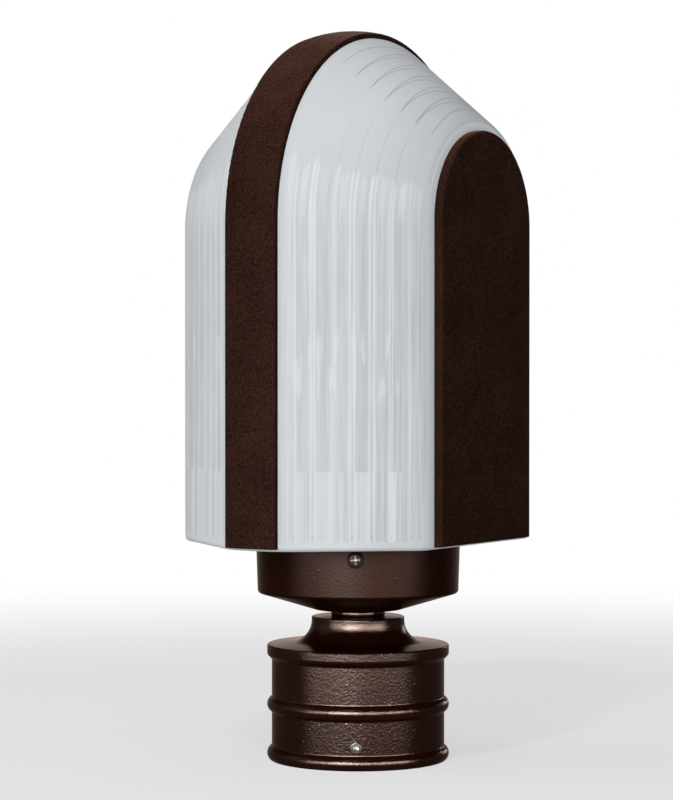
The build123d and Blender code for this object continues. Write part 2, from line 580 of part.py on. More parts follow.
def wire_connectors():
    """Three splice caps in the fitter's chamber, open downwards."""
    bottom = NIPPLE_BOTTOM_Z
    top = CEILING_Z - FIT_CLEARANCE
    cap = turned(plate(((0, bottom), (CONNECTOR_RADIUS, bottom), (CONNECTOR_TIP_RADIUS, top), (0, top))))
    cap -= disc(LEAD_RADIUS + FIT_CLEARANCE, bottom, bottom + CONNECTOR_ENTRY)
    return [Rot(0, 0, azimuth) * Pos(CONNECTOR_OFFSET, 0, 0) * cap for azimuth in (90, -90, 180)]


def lamp_outline(radius, neck_radius, bottom):
    """Half outline of the lamp's glass: a ball, a straight flank tangent to it and a neck."""
    shoulder = Vector(neck_radius, CAP_TOP_Z)
    to_centre = Vector(0, LAMP_CENTRE_Z) - shoulder
    reach = sqrt(to_centre.length ** 2 - radius ** 2)
    lean = atan2(to_centre.Y, to_centre.X) - asin(radius / to_centre.length)
    touch = shoulder + Vector(cos(lean), sin(lean)) * reach
    side = Vector(cos(radians(45)), sin(radians(45))) * radius + Vector(0, LAMP_CENTRE_Z)
    top = Vector(0, LAMP_CENTRE_Z + radius)
    outline = [Line((0, bottom), (neck_radius, bottom)), Line((neck_radius, bottom), shoulder),
               Line(shoulder, touch), ThreePointArc(touch, side, top), Line(top, (0, bottom))]
    return Plane.XZ * make_face(outline)


def lamp_envelope():
    """Thin frosted glass, open at the foot of its neck inside the cap."""
    bottom = CAP_TOP_Z - LAMP_NECK_LENGTH
    outer = turned(lamp_outline(LAMP_RADIUS, LAMP_NECK_RADIUS, bottom))
    return outer - turned(lamp_outline(LAMP_RADIUS - LAMP_GLASS, LAMP_NECK_RADIUS - LAMP_GLASS, bottom))


def lamp_cap():
    """Brass screw cap with rolled rings, closed below round the insulator."""
    outline = plate(((0, CAP_Z), (INSULATOR_RADIUS, CAP_Z), (CAP_RADIUS, CAP_Z + INSULATOR_HEIGHT),
                     (CAP_RADIUS, CAP_TOP_Z), (0, CAP_TOP_Z)))
    cap = turned(outline) - disc(CAP_BORE, CAP_Z + INSULATOR_HEIGHT + CAP_WALL, CAP_TOP_Z)
    for i in range(CAP_RINGS):
        height = CAP_Z + INSULATOR_HEIGHT + CAP_RING_PITCH * (i + 0.5)
        groove = Pos(CAP_RADIUS + CAP_RING_DEPTH, height) * Circle(2 * CAP_RING_DEPTH)
        cap -= turned(Plane.XZ * groove)
    return cap


def lamp_insulator():
    """Dark glass bead between cap and eyelet."""
    bottom = LAMP_Z + EYELET_HEIGHT
    return turned(plate(((0, bottom), (EYELET_RADIUS, bottom), (INSULATOR_RADIUS, CAP_Z), (0, CAP_Z))))


def lamp_eyelet():
    """Contact under the lamp."""
    eyelet = disc(EYELET_RADIUS, LAMP_Z, LAMP_Z + EYELET_HEIGHT)
    return fillet(eyelet.edges().group_by(Axis.Z)[0], EYELET_HEIGHT / 2)


def lamp_stem():
    """Glass stem that carries the filament, flared to the neck of the envelope."""
    bottom = CAP_TOP_Z - LAMP_NECK_LENGTH
    flare = LAMP_NECK_RADIUS - LAMP_GLASS
    return turned(plate(((0, bottom), (flare, bottom), (STEM_RADIUS, bottom + STEM_FLARE),
                         (STEM_RADIUS, bottom + STEM_HEIGHT), (0, bottom + STEM_HEIGHT))))


def lamp_filament():
    """Bowed wire on the top of the stem."""
    foot = CAP_TOP_Z - LAMP_NECK_LENGTH + STEM_HEIGHT
    start = STEM_RADIUS / 2
    span = FILAMENT_SPAN
    arc = [Line((-start, 0, foot), (-span, 0, foot + FILAMENT_RISE)),
           Line((-span, 0, foot + FILAMENT_RISE), (span, 0, foot + FILAMENT_RISE)),
           Line((span, 0, foot + FILAMENT_RISE), (start, 0, foot))]
    wire = Wire(arc)
    section = Plane(wire @ 0, z_dir=wire % 0) * Circle(FILAMENT_RADIUS)
    bow = sweep(section, path=wire, transition=Transition.RIGHT)
    return bow - disc(STEM_RADIUS, foot - STEM_RADIUS, foot)


def nodes():
    """Name and solids of every piece."""
    pieces = {
        "post_fitter": post_fitter(),
        "lower_lock_washer": lower_lock_washer(),
        "lower_locknut": lower_locknut(),
        "threaded_nipple": threaded_nipple(),
        "neck_collar": neck_collar(),
        "holder_cup": holder_cup(),
        "neck_gasket": neck_gasket(),
        "bracket_spacer": bracket_spacer(),
        "socket_bracket": socket_bracket(),
        "upper_lock_washer": upper_lock_washer(),
        "upper_locknut": upper_locknut(),
        "bracket_screws": bracket_screws(),
        "socket_body": socket_body(),
        "socket_shell": socket_shell(),
        "centre_contact": centre_contact(),
        "terminal_screws": terminal_screws(),
        "ground_screw": ground_screw(),
        "hot_lead": power_lead(90),
        "neutral_lead": power_lead(-90),
        "ground_lead": ground_lead(),
        "wire_connectors": wire_connectors(),
        "glass_shade": glass_shade(),
        "centre_strap": centre_strap(),
        "end_panel_right": end_panel(1),
        "end_panel_left": end_panel(-1),
        "lamp_envelope": lamp_envelope(),
        "lamp_cap": lamp_cap(),
        "lamp_insulator": lamp_insulator(),
        "lamp_eyelet": lamp_eyelet(),
        "lamp_stem": lamp_stem(),
        "lamp_filament": lamp_filament(),
    }
    for number, azimuth in enumerate(SCREW_AZIMUTHS, start=1):
        pieces[f"fitter_screw_{number}"] = fitter_screw(azimuth)
        pieces[f"shade_screw_{number}"] = shade_screw(azimuth)
        pieces[f"shade_screw_tip_{number}"] = shade_screw_tip(azimuth)
    return pieces


os.makedirs("parts", exist_ok=True)
for name, shape in nodes().items():
    solids = shape if isinstance(shape, list) else [shape]
    export_step(Compound(children=[s for piece in solids for s in piece.solids()]), f"parts/{name}.step")
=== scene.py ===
"""Looks of a post-top lantern head: a ribbed glass shade with dark trim on a turned post fitter.

Metres, +Z up, origin on the axis at the lower rim of the fitter. The arch of the strap lies in the
YZ plane and the two end panels face +X and -X.
"""

from __future__ import annotations

import json
import logging
import math
from dataclasses import dataclass
from enum import Enum
from typing import Any, Callable, Mapping, Sequence

import bpy
from mathutils import Matrix, Vector

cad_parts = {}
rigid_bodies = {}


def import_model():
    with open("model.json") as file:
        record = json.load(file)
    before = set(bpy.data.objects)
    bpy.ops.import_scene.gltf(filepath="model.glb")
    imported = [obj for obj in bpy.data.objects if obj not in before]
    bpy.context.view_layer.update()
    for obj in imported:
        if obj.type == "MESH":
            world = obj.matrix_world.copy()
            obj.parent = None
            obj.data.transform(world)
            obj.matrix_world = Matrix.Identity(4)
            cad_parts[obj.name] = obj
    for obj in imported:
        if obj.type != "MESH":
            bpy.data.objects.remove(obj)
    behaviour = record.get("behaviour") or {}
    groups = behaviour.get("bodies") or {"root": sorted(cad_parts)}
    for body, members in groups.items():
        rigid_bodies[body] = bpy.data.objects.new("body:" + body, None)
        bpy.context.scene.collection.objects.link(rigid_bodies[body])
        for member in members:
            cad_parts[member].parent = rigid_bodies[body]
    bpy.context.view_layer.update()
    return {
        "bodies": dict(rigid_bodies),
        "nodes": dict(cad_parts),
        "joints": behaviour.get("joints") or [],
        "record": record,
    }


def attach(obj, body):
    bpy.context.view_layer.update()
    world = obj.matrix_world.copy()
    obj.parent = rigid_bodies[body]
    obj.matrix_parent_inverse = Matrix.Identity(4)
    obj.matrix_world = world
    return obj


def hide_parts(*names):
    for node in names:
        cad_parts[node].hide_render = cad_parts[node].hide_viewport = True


LOG = logging.getLogger("lantern_head")
MM = 0.001
WELD_GAP = 0.01 * MM
NEAR = 0.02 * MM
ORIGIN = (0.0, 0.0, 0.0)
NOISE_MIDDLE = 0.5
Colour = tuple[float, float, float]
Point = tuple[float, float, float]
Pair = tuple[float, float]
Plan = list[Pair]
Test = Callable[[Vector], bool]


class Value:
    """Output socket of a shader node that takes part in Python expressions."""

    def __init__(self, shader: Shader, socket: bpy.types.NodeSocket) -> None:
        """Wrap an output socket of a shader's tree."""
        self.shader = shader
        self.socket = socket

    def __add__(self, other: Term) -> Value:
        """Sum of two values."""
        return self.shader.math("ADD", self, other)

    __radd__ = __add__

    def __sub__(self, other: Term) -> Value:
        """Difference of two values."""
        return self.shader.math("SUBTRACT", self, other)

    def __rsub__(self, other: Term) -> Value:
        """Difference with the value on the right."""
        return self.shader.math("SUBTRACT", other, self)

    def __mul__(self, other: Term) -> Value:
        """Product of two values."""
        return self.shader.math("MULTIPLY", self, other)

    __rmul__ = __mul__

    def __truediv__(self, other: Term) -> Value:
        """Quotient of two values."""
        return self.shader.math("DIVIDE", self, other)

    def __abs__(self) -> Value:
        """Size of the value without its sign."""
        return self.shader.math("ABSOLUTE", self)

    def fraction(self) -> Value:
        """Part of the value after its whole number."""
        return self.shader.math("FRACT", self)

    def step(self, low: float, high: float) -> Value:
        """Smooth step of the value.

        Args:
            low: value at and under which the step is 0.
            high: value at and over which the step is 1.

        Returns:
            The step, from 0 to 1.
        """
        return self.shader.node("ShaderNodeMapRange", {"interpolation_type": "SMOOTHSTEP"},
                                {"Value": self, "From Min": low, "From Max": high})


Term = Value | float | int


class Shader:
    """Node tree of one material with a Principled surface."""

    GLOSS_TINT: Colour = (1.0, 0.76, 0.66)
    FACING_BLEND = 0.5
    EDGE_POWER = 8.0

    def __init__(self, name: str, constants: Mapping[str, Any]) -> None:
        """Start a material.

        Args:
            name: name of the material.
            constants: values of the Principled shader's own sockets.
        """
        self.material = bpy.data.materials.new(name)
        self.material.use_nodes = True
        self.tree = self.material.node_tree
        self.surface = self.tree.nodes["Principled BSDF"]
        for socket, value in constants.items():
            self.surface.inputs[socket].default_value = value
        self._place: Value | None = None

    def node(self, kind: str, settings: Mapping[str, Any] | None = None,
             sockets: Mapping[str | int, Any] | None = None, output: str | int = 0) -> Value:
        """Add a node.

        Args:
            kind: type of the node.
            settings: attributes, which are set before the sockets.
            sockets: values or links of the input sockets.
            output: name or number of the output socket that is returned.

        Returns:
            The output socket as a value.
        """
        made = self.tree.nodes.new(kind)
        for name, value in (settings or {}).items():
            setattr(made, name, value)
        for name, value in (sockets or {}).items():
            self.link(made.inputs[name], value)
        return Value(self, made.outputs[output])

    def link(self, socket: bpy.types.NodeSocket, value: Any) -> None:
        """Feed an input socket with a value or set it to a constant.

        Args:
            socket: the input socket.
            value: an output socket's value, or a constant.
        """
        if isinstance(value, Value):
            self.tree.links.new(value.socket, socket)
        else:
            socket.default_value = value

    def math(self, operation: str, *terms: Term) -> Value:
        """Add a Math node on one or two terms."""
        return self.node("ShaderNodeMath", {"operation": operation}, dict(enumerate(terms)))

    def place(self) -> Value:
        """Object coordinates, shared by all the patterns of the material."""
        if self._place is None:
            self._place = self.node("ShaderNodeTexCoord", output="Object")
        return self._place

    def axes(self) -> tuple[Value, Value, Value]:
        """Object coordinates as three numbers.

        Returns:
            The places along X, Y and Z in millimetres.
        """
        scaled = self.stretched(Vector((1, 1, 1)) / MM)
        made = self.node("ShaderNodeSeparateXYZ", sockets={0: scaled})
        outputs = made.socket.node.outputs
        return Value(self, outputs[0]), Value(self, outputs[1]), Value(self, outputs[2])

    def stretched(self, scale: Vector) -> Value:
        """Object coordinates scaled along each axis."""
        return self.node("ShaderNodeVectorMath", {"operation": "MULTIPLY"},
                         {0: self.place(), 1: scale})

    def noise(self, pitch: float, detail: float = 2.0, along: Vector | None = None) -> Value:
        """Soft noise.

        Args:
            pitch: size of its grains in metres.
            detail: octaves of finer grain.
            along: stretch of the coordinates along each axis.

        Returns:
            The noise, about 0.5.
        """
        where = self.place() if along is None else self.stretched(along)
        return self.node("ShaderNodeTexNoise", {},
                         {"Vector": where, "Scale": 1 / pitch, "Detail": detail})

    def cells(self, pitch: float) -> Value:
        """Distance to the nearest of scattered points, in pitches."""
        return self.node("ShaderNodeTexVoronoi", {"feature": "F1"},
                         {"Vector": self.place(), "Scale": 1 / pitch}, "Distance")

    def blend(self, factor: Term, low: Colour | Value, high: Colour | Value) -> Value:
        """Colour between two colours."""
        ends = [c if isinstance(c, Value) else (*c, 1.0) for c in (low, high)]
        return self.node("ShaderNodeMix", {"data_type": "RGBA"},
                         {0: factor, 6: ends[0], 7: ends[1]}, 2)

    def feed(self, socket: str, value: Value) -> None:
        """Link a value to a socket of the surface."""
        self.link(self.surface.inputs[socket], value)

    def paint(self, tone: Value, low: Colour, high: Colour) -> None:
        """Give the surface a colour between two colours."""
        self.feed("Base Color", self.blend(tone, low, high))

    def roughen(self, grain: Value, middle: float, spread: float) -> None:
        """Give the surface a roughness that follows a noise.

        Args:
            grain: the noise.
            middle: roughness at the middle of the noise.
            spread: change of roughness over the whole noise.
        """
        self.feed("Roughness", grain * spread + (middle - spread * NOISE_MIDDLE))

    def bump(self, height: Value, depth: float, strength: float = 1.0) -> Value:
        """Raise the surface by a height map.

        Args:
            height: height from 0 to 1.
            depth: full height in metres.
            strength: share of the bump that shows.

        Returns:
            The bumped normal.
        """
        normal = self.node("ShaderNodeBump", {},
                           {"Height": height, "Distance": depth, "Strength": strength})
        self.feed("Normal", normal)
        return normal

    def add(self, share: Term, other: Value) -> None:
        """Mix another shader into the surface.

        Args:
            share: how much of the other shader shows.
            other: output of the other shader.
        """
        output = self.tree.nodes["Material Output"].inputs["Surface"]
        under = Value(self, output.links[0].from_socket)
        self.link(output, self.node("ShaderNodeMixShader", {}, {0: share, 1: under, 2: other}))

    def gloss(self, share: float, roughness: float, normal: Value, grazing: float) -> None:
        """Lay a tinted gloss over the surface that grows only where it is seen nearly edge-on.

        Args:
            share: how much of the light it mirrors when seen straight on.
            roughness: roughness of the gloss.
            normal: bumped normal.
            grazing: what is added to the share edge-on.
        """
        facing = self.node("ShaderNodeLayerWeight", {}, {"Blend": self.FACING_BLEND}, "Facing")
        glossy = self.node("ShaderNodeBsdfGlossy", {"distribution": "BECKMANN"},
                           {"Color": (*self.GLOSS_TINT, 1.0), "Roughness": roughness,
                            "Normal": normal})
        self.add(self.math("POWER", facing, self.EDGE_POWER) * grazing + share, glossy)


@dataclass(frozen=True)
class GrainedPaint:
    """Matte dark powder coat with a fine grain, on the strap and the end panels."""

    dark: Colour
    light: Colour
    grain: float = 0.65 * MM
    grain_detail: float = 3.0
    grain_weight: float = 1.6
    grain_depth: float = 0.3 * MM
    grain_strength: float = 0.7
    grains_per_cloud: float = 30.0
    cloud_weight: float = 0.3
    tone_shift: float = 0.45
    tone_range: Pair = (0.15, 0.85)
    roughness: float = 0.5
    roughness_spread: float = 0.2
    gloss: float = 0.0001
    grazing: float = 0.1

    def material(self, name: str) -> bpy.types.Material:
        """Build the finish.

        Args:
            name: name of the material.

        Returns:
            The material.
        """
        shader = Shader(name, {"Specular IOR Level": 0.0})
        grain = shader.noise(self.grain, self.grain_detail)
        cloud = shader.noise(self.grains_per_cloud * self.grain)
        tone = grain * self.grain_weight + cloud * self.cloud_weight - self.tone_shift
        shader.paint(tone.step(*self.tone_range), self.dark, self.light)
        shader.roughen(grain, self.roughness, self.roughness_spread)
        normal = shader.bump(grain, self.grain_depth, self.grain_strength)
        shader.gloss(self.gloss, self.roughness, normal, self.grazing)
        return shader.material


@dataclass(frozen=True)
class CastPaint:
    """Semi-gloss dark bronze paint over a casting, with an orange-peel skin and small nibs."""

    dark: Colour
    light: Colour
    peel: float = 1.2 * MM
    peel_depth: float = 0.11 * MM
    fine_share: float = 0.4
    fine_weight: float = 0.3
    nib: float = 5.5 * MM
    nib_edge: Pair = (0.05, 0.14)
    nib_weight: float = 0.7
    peels_per_cloud: float = 20.0
    cloud_range: Pair = (0.3, 0.7)
    roughness: float = 0.28
    roughness_spread: float = 0.16
    gloss: float = 0.007
    grazing: float = 0.3

    def material(self, name: str) -> bpy.types.Material:
        """Build the finish.

        Args:
            name: name of the material.

        Returns:
            The material.
        """
        shader = Shader(name, {"Specular IOR Level": 0.0})
        skin = shader.noise(self.peel)
        fine = shader.noise(self.fine_share * self.peel)
        nibs = 1 - shader.cells(self.nib).step(*self.nib_edge)
        cloud = shader.noise(self.peels_per_cloud * self.peel)
        shader.paint(cloud.step(*self.cloud_range), self.dark, self.light)
        shader.roughen(fine, self.roughness, self.roughness_spread)
        height = skin + fine * self.fine_weight + nibs * self.nib_weight
        normal = shader.bump(height, self.peel_depth)
        shader.gloss(self.gloss, self.roughness, normal, self.grazing)
        return shader.material


@dataclass(frozen=True)
class BareMetal:
    """Plain plated or turned metal with faint tool marks."""

    colour: Colour
    worn: Colour
    roughness: float
    roughness_spread: float = 0.2
    grain: float = 0.5 * MM
    grain_detail: float = 3.0
    grain_stretch: Point = (1.0, 1.0, 4.0)
    mark_depth: float = 0.05 * MM
    mark_strength: float = 0.25
    grains_per_stain: float = 12.0
    stain_range: Pair = (0.35, 0.75)

    def material(self, name: str) -> bpy.types.Material:
        """Build the finish.

        Args:
            name: name of the material.

        Returns:
            The material.
        """
        shader = Shader(name, {"Metallic": 1.0})
        marks = shader.noise(self.grain, self.grain_detail, Vector(self.grain_stretch))
        stain = shader.noise(self.grains_per_stain * self.grain)
        shader.paint(stain.step(*self.stain_range), self.colour, self.worn)
        shader.roughen(marks, self.roughness, self.roughness_spread)
        shader.bump(marks, self.mark_depth, self.mark_strength)
        return shader.material


@dataclass(frozen=True)
class Moulding:
    """Porcelain, rubber or plastic: one body colour with a faint mottle and skin."""

    colour: Colour
    shade: Colour
    roughness: float
    roughness_spread: float = 0.12
    grain: float = 1.0 * MM
    skin_depth: float = 0.06 * MM
    skin_strength: float = 0.3
    grains_per_mottle: float = 14.0
    mottle_range: Pair = (0.3, 0.7)
    coat: float = 0.0
    coat_roughness: float = 0.08

    def material(self, name: str) -> bpy.types.Material:
        """Build the finish.

        Args:
            name: name of the material.

        Returns:
            The material.
        """
        shader = Shader(name, {"Coat Weight": self.coat, "Coat Roughness": self.coat_roughness})
        skin = shader.noise(self.grain)
        mottle = shader.noise(self.grains_per_mottle * self.grain)
        shader.paint(mottle.step(*self.mottle_range), self.colour, self.shade)
        shader.roughen(skin, self.roughness, self.roughness_spread)
        shader.bump(skin, self.skin_depth, self.skin_strength)
        return shader.material


class Finish(Enum):
    """Finishes of the pieces, named for the record's material slot or for the piece."""

    CAST_BRONZE = CastPaint((0.010, 0.0019, 0.0007), (0.014, 0.003, 0.0011))
    SPUN_BRONZE = CastPaint((0.011, 0.0022, 0.0008), (0.015, 0.0034, 0.0013), peel=0.9 * MM,
                            peel_depth=0.08 * MM, nib=9.0 * MM, roughness=0.36, gloss=0.0022)
    NECK_BRONZE = CastPaint((0.006, 0.0015, 0.0006), (0.009, 0.0022, 0.0009), peel=0.9 * MM,
                            peel_depth=0.03 * MM, nib=9.0 * MM, roughness=0.16, gloss=0.009)
    SCREW_BRONZE = CastPaint((0.014, 0.0042, 0.002), (0.02, 0.0066, 0.0036), peel=0.7 * MM,
                             peel_depth=0.03 * MM, nib=9.0 * MM, roughness=0.3, gloss=0.03)
    TRIM_BRONZE = GrainedPaint((0.0064, 0.0027, 0.0017), (0.044, 0.019, 0.013))
    SET_SCREW = BareMetal((0.14, 0.13, 0.12), (0.21, 0.20, 0.19), 0.22)
    WORN_STEEL = BareMetal((0.46, 0.44, 0.42), (0.60, 0.58, 0.56), 0.24)
    ZINC_STEEL = BareMetal((0.60, 0.60, 0.57), (0.50, 0.49, 0.44), 0.42)
    BRASS = BareMetal((0.72, 0.50, 0.20), (0.56, 0.36, 0.14), 0.32)
    GROUND_GREEN = BareMetal((0.05, 0.30, 0.11), (0.04, 0.22, 0.08), 0.4)
    LAMP_WIRE = BareMetal((0.22, 0.22, 0.23), (0.17, 0.17, 0.18), 0.5)
    PORCELAIN = Moulding((0.84, 0.83, 0.79), (0.78, 0.76, 0.71), 0.3, coat=0.6)
    GASKET_RUBBER = Moulding((0.022, 0.022, 0.023), (0.032, 0.032, 0.033), 0.78)
    TIP_SILICONE = Moulding((0.68, 0.68, 0.66), (0.60, 0.60, 0.57), 0.5)
    BLACK_INSULATION = Moulding((0.018, 0.018, 0.02), (0.026, 0.026, 0.028), 0.45)
    WHITE_INSULATION = Moulding((0.74, 0.74, 0.71), (0.66, 0.66, 0.62), 0.45)
    GREEN_INSULATION = Moulding((0.035, 0.23, 0.075), (0.028, 0.18, 0.06), 0.45)
    SPLICE_PLASTIC = Moulding((0.70, 0.40, 0.05), (0.62, 0.33, 0.04), 0.35)
    LAMP_BEAD = Moulding((0.016, 0.016, 0.02), (0.024, 0.024, 0.028), 0.2, coat=0.5)
    LAMP_GLASS = Moulding((0.83, 0.83, 0.80), (0.78, 0.78, 0.75), 0.4)

    def material(self) -> bpy.types.Material:
        """Build the finish under its own name."""
        return self.value.material(self.name.lower())


class Palette:
    """Finishes as materials, each made once."""

    def __init__(self) -> None:
        """Start with none made."""
        self._made: dict[str, bpy.types.Material] = {}

    def __getitem__(self, name: str) -> bpy.types.Material:
        """Material of the finish with a name."""
        if name not in self._made:
            self._made[name] = Finish[name.upper()].material()
        return self._made[name]


@dataclass(frozen=True)
class Streaks:
    """Noise drawn out along the ribs.

    Attributes:
        pitch: size of its grains across the ribs, in millimetres.
        detail: octaves of finer grain.
        along: scale of the coordinates along the ribs, where less draws the grains out.
    """

    pitch: float
    detail: float
    along: float

    def noise(self, shader: Shader) -> Value:
        """Add the noise to a shader."""
        return shader.noise(self.pitch * MM, self.detail, Vector((1.0, self.along, self.along)))


@dataclass(frozen=True)
class MilkGlass:
    """Outer skin of the ribbed glass: milky, with the ribs behind it showing as fine streaks.

    Sizes are in millimetres and angles, taken up the arch from its spring line, in degrees. The
    tone runs from the light colour at 0 to the shade at 1. A weight is what an effect adds to it or
    takes from it, and a pair holds the places or noise values between which an effect sets in.
    """

    rib_end: float
    rib_pitch: float
    rib_count: int
    spring: float
    floor_top: float
    light: Colour = (0.768, 0.796, 0.824)
    shade: Colour = (0.375, 0.398, 0.42)
    plain_tone: float = 0.3
    roughness: float = 0.42
    specular: float = 0.04
    translucency: float = 0.12
    see_through: float = 0.07
    see_through_zone: Pair = (1.0, 2.2)
    skin_depth: float = 0.05
    skin_strength: float = 0.3
    fine: Streaks = Streaks(0.7, 2.0, 0.014)
    fine_weight: float = 0.8
    broad: Streaks = Streaks(2.6, 1.0, 0.004)
    broad_weight: float = 0.45
    patch: Streaks = Streaks(3.2, 1.0, 0.12)
    cloud: Streaks = Streaks(26.0, 2.0, 1.0)
    cloud_weight: float = 0.12
    wall_end: Pair = (16.0, 20.0)
    wall_wave: float = 14.0
    wall_start: Pair = (15.0, 19.0)
    wall_weight: float = 0.11
    floor_fade: float = 1.2
    floor_weight: float = 0.1
    rib_soft: float = 0.06
    border_zone: Pair = (-0.3, 0.05)
    border_weight: float = 0.03
    dim_middle: float = 248.0
    dim_reach: Pair = (20.0, 80.0)
    dim_weight: float = 0.08
    # painted shade towards the end panels
    side_zone: Pair = (36.0, 70.0)
    side_weight: float = 0.22
    # painted light: the end faces of the glass get a lighter colour, as if lit through the glass
    edge_zone: Pair = (70.9, 71.35)
    edge_light: Colour = (0.76, 0.80, 0.828)
    # lines by each valley: the grey ones are painted shade, the bright ones painted highlights
    grey_edge: Pair = (0.08, 0.3)
    grey_weight: float = 0.13
    bright_place: Pair = (0.3, 1.0)
    bright_edge: Pair = (0.1, 0.42)
    bright_weight: float = 0.4
    rank_weight: float = 0.13
    # painted reflection of the lamp bulb, half way up the walls
    glint_middle: float = 202.0
    glint_reach: Pair = (10.0, 20.0)
    glint_range: Pair = (0.54, 0.68)
    glint_weight: float = 0.3
    # painted light of the pale lamp socket behind the ribs, low on the walls
    glow_top: Pair = (150.5, 151.5)
    glow_range: Pair = (0.42, 0.53)
    glow_weight: float = 0.4
    glow_shift: float = 0.05
    tongue_width: Pair = (0.5, 0.85)
    tongue_zone: Pair = (-5.0, 9.0)
    tongue_weight: float = 0.24
    # painted shade at the foot of the valleys
    dot_lift: float = 2.6
    dot_width: Pair = (0.25, 0.6)
    dot_height: Pair = (0.3, 0.8)
    dot_weight: float = 0.35
    # rib valleys seen through the dome, drawn as painted shade
    arc_start: float = 63.0
    arc_fall: float = 0.245
    arc_fade: Pair = (-1.0, 4.0)
    arc_spread: Pair = (0.0, 50.0)
    arc_gap: Pair = (0.1, 1.8)
    arc_edge: Pair = (0.1, 0.34)
    arc_weight: float = 0.5
    thread_edge: Pair = (0.05, 0.5)
    thread_start: Pair = (16.0, 22.0)
    thread_stop: Pair = (38.0, 46.0)
    thread_side: Pair = (24.0, 46.0)
    thread_weight: float = 0.2

    def material(self) -> bpy.types.Material:
        """Build the finish.

        Returns:
            The material.
        """
        shader = Shader("milk_glass", {"Roughness": self.roughness,
                                       "Specular IOR Level": self.specular})
        fine, broad, patch, cloud = (
            streaks.noise(shader) for streaks in (self.fine, self.broad, self.patch, self.cloud))
        across, depth, height = shader.axes()
        side = abs(across)
        rise = shader.math("ARCTAN2", height - self.spring, abs(depth)) * math.degrees(1)
        wave = (broad - NOISE_MIDDLE) * self.wall_wave
        wall = (1 - (rise + wave).step(*self.wall_end)) * side.step(*self.wall_start)
        above = height.step(self.floor_top, self.floor_top + self.floor_fade)
        rib = (self.rib_end - side) / self.rib_pitch
        last = rib.step(self.rib_count - self.rib_soft, self.rib_count + self.rib_soft)
        ribbed = rib.step(-self.rib_soft, self.rib_soft) * (1 - last)
        valley = (1 - abs(rib.fraction() - 0.5) * 2) * (self.rib_pitch / 2)
        # painted rib shade and highlights, bulb reflection, socket light and valley shade, with the
        # pale tongues
        marks = (self.rib_edges(shader, rib, valley, broad) - self.glints(height, patch)
                 - self.glow(height, broad) - self.tongues(rise, valley)
                 + self.dots(height, valley))
        streaks = ((fine - NOISE_MIDDLE) * self.fine_weight
                   + (broad - NOISE_MIDDLE) * self.broad_weight + marks * ribbed)
        tone = (streaks * wall * above + self.arcs(rise, side, valley) * ribbed
                + (cloud - NOISE_MIDDLE) * self.cloud_weight + self.plain_tone
                + (above - 1) * self.floor_weight - wall * self.wall_weight
                + self.shading(rib, side, height))
        body = shader.blend(tone, self.light, self.shade)
        # painted light on the end faces of the glass
        shader.feed("Base Color", shader.blend(side.step(*self.edge_zone), body, self.edge_light))
        clear = valley.step(*self.see_through_zone) * ribbed * wall * above
        shader.feed("Alpha", 1 - clear * self.see_through)
        shader.bump(fine * ribbed * wall, self.skin_depth * MM, self.skin_strength)
        shader.add(self.translucency, shader.node("ShaderNodeBsdfTranslucent", {},
                                                  {"Color": (*self.light, 1.0)}))
        return shader.material

    def rib_edges(self, shader: Shader, rib: Value, valley: Value, broad: Value) -> Value:
        """Painted grey shade and bright highlight lines by each valley, their strength changing by
        rib.

        Args:
            shader: shader of the glass.
            rib: place across the ribs, in ribs.
            valley: distance from the nearest valley.
            broad: soft streak noise.

        Returns:
            Change of tone, dark lines above zero.
        """
        rank = shader.node("ShaderNodeTexWhiteNoise", {"noise_dimensions": "1D"},
                           {"W": shader.math("ROUND", rib)}, "Value")
        near, far = self.bright_place
        # painted highlight: a bright line beside each valley
        bright = 1 - abs(valley - (rank * (far - near) + near)).step(*self.bright_edge)
        # painted shade: a grey line in each valley
        grey = 1 - valley.step(*self.grey_edge)
        light = broad * self.bright_weight + rank * self.rank_weight
        return grey * self.grey_weight - bright * light

    def glints(self, height: Value, patch: Value) -> Value:
        """Painted reflection of the lamp bulb: short bright marks half way up the walls."""
        zone = 1 - abs(height - self.glint_middle).step(*self.glint_reach)
        return patch.step(*self.glint_range) * zone * self.glint_weight

    def glow(self, height: Value, broad: Value) -> Value:
        """Painted light of the pale lamp socket behind the ribs: lighter strips low on the walls."""
        strips = broad.step(*self.glow_range) * self.glow_weight - self.glow_shift
        return (1 - height.step(*self.glow_top)) * strips

    def tongues(self, rise: Value, valley: Value) -> Value:
        """Pale tongues between the valleys, low on the arch."""
        middle = (valley / (self.rib_pitch / 2)).step(*self.tongue_width)
        return middle * rise.step(*self.tongue_zone) * self.tongue_weight

    def dots(self, height: Value, valley: Value) -> Value:
        """Painted shade: grey spots at the foot of the valleys, just over the floor."""
        level = 1 - abs(height - (self.floor_top + self.dot_lift)).step(*self.dot_height)
        return (1 - valley.step(*self.dot_width)) * level * self.dot_weight

    def arcs(self, rise: Value, side: Value, valley: Value) -> Value:
        """Rib valleys seen through the dome, drawn as painted shade: grey lines parting in pairs from
        each valley, a faint thread below them.

        Args:
            rise: angle up the arch.
            side: distance from the middle of the glass along X.
            valley: distance from the nearest valley.

        Returns:
            Change of tone, dark lines above zero.
        """
        lift = rise + side * self.arc_fall - self.arc_start
        closed, opened = self.arc_gap
        gap = lift.step(*self.arc_spread) * (opened - closed) + closed
        pair = (1 - abs(valley - gap).step(*self.arc_edge)) * lift.step(*self.arc_fade)
        thread = 1 - valley.step(*self.thread_edge)
        thread = thread * rise.step(*self.thread_start) * (1 - rise.step(*self.thread_stop))
        return pair * self.arc_weight + thread * side.step(*self.thread_side) * self.thread_weight

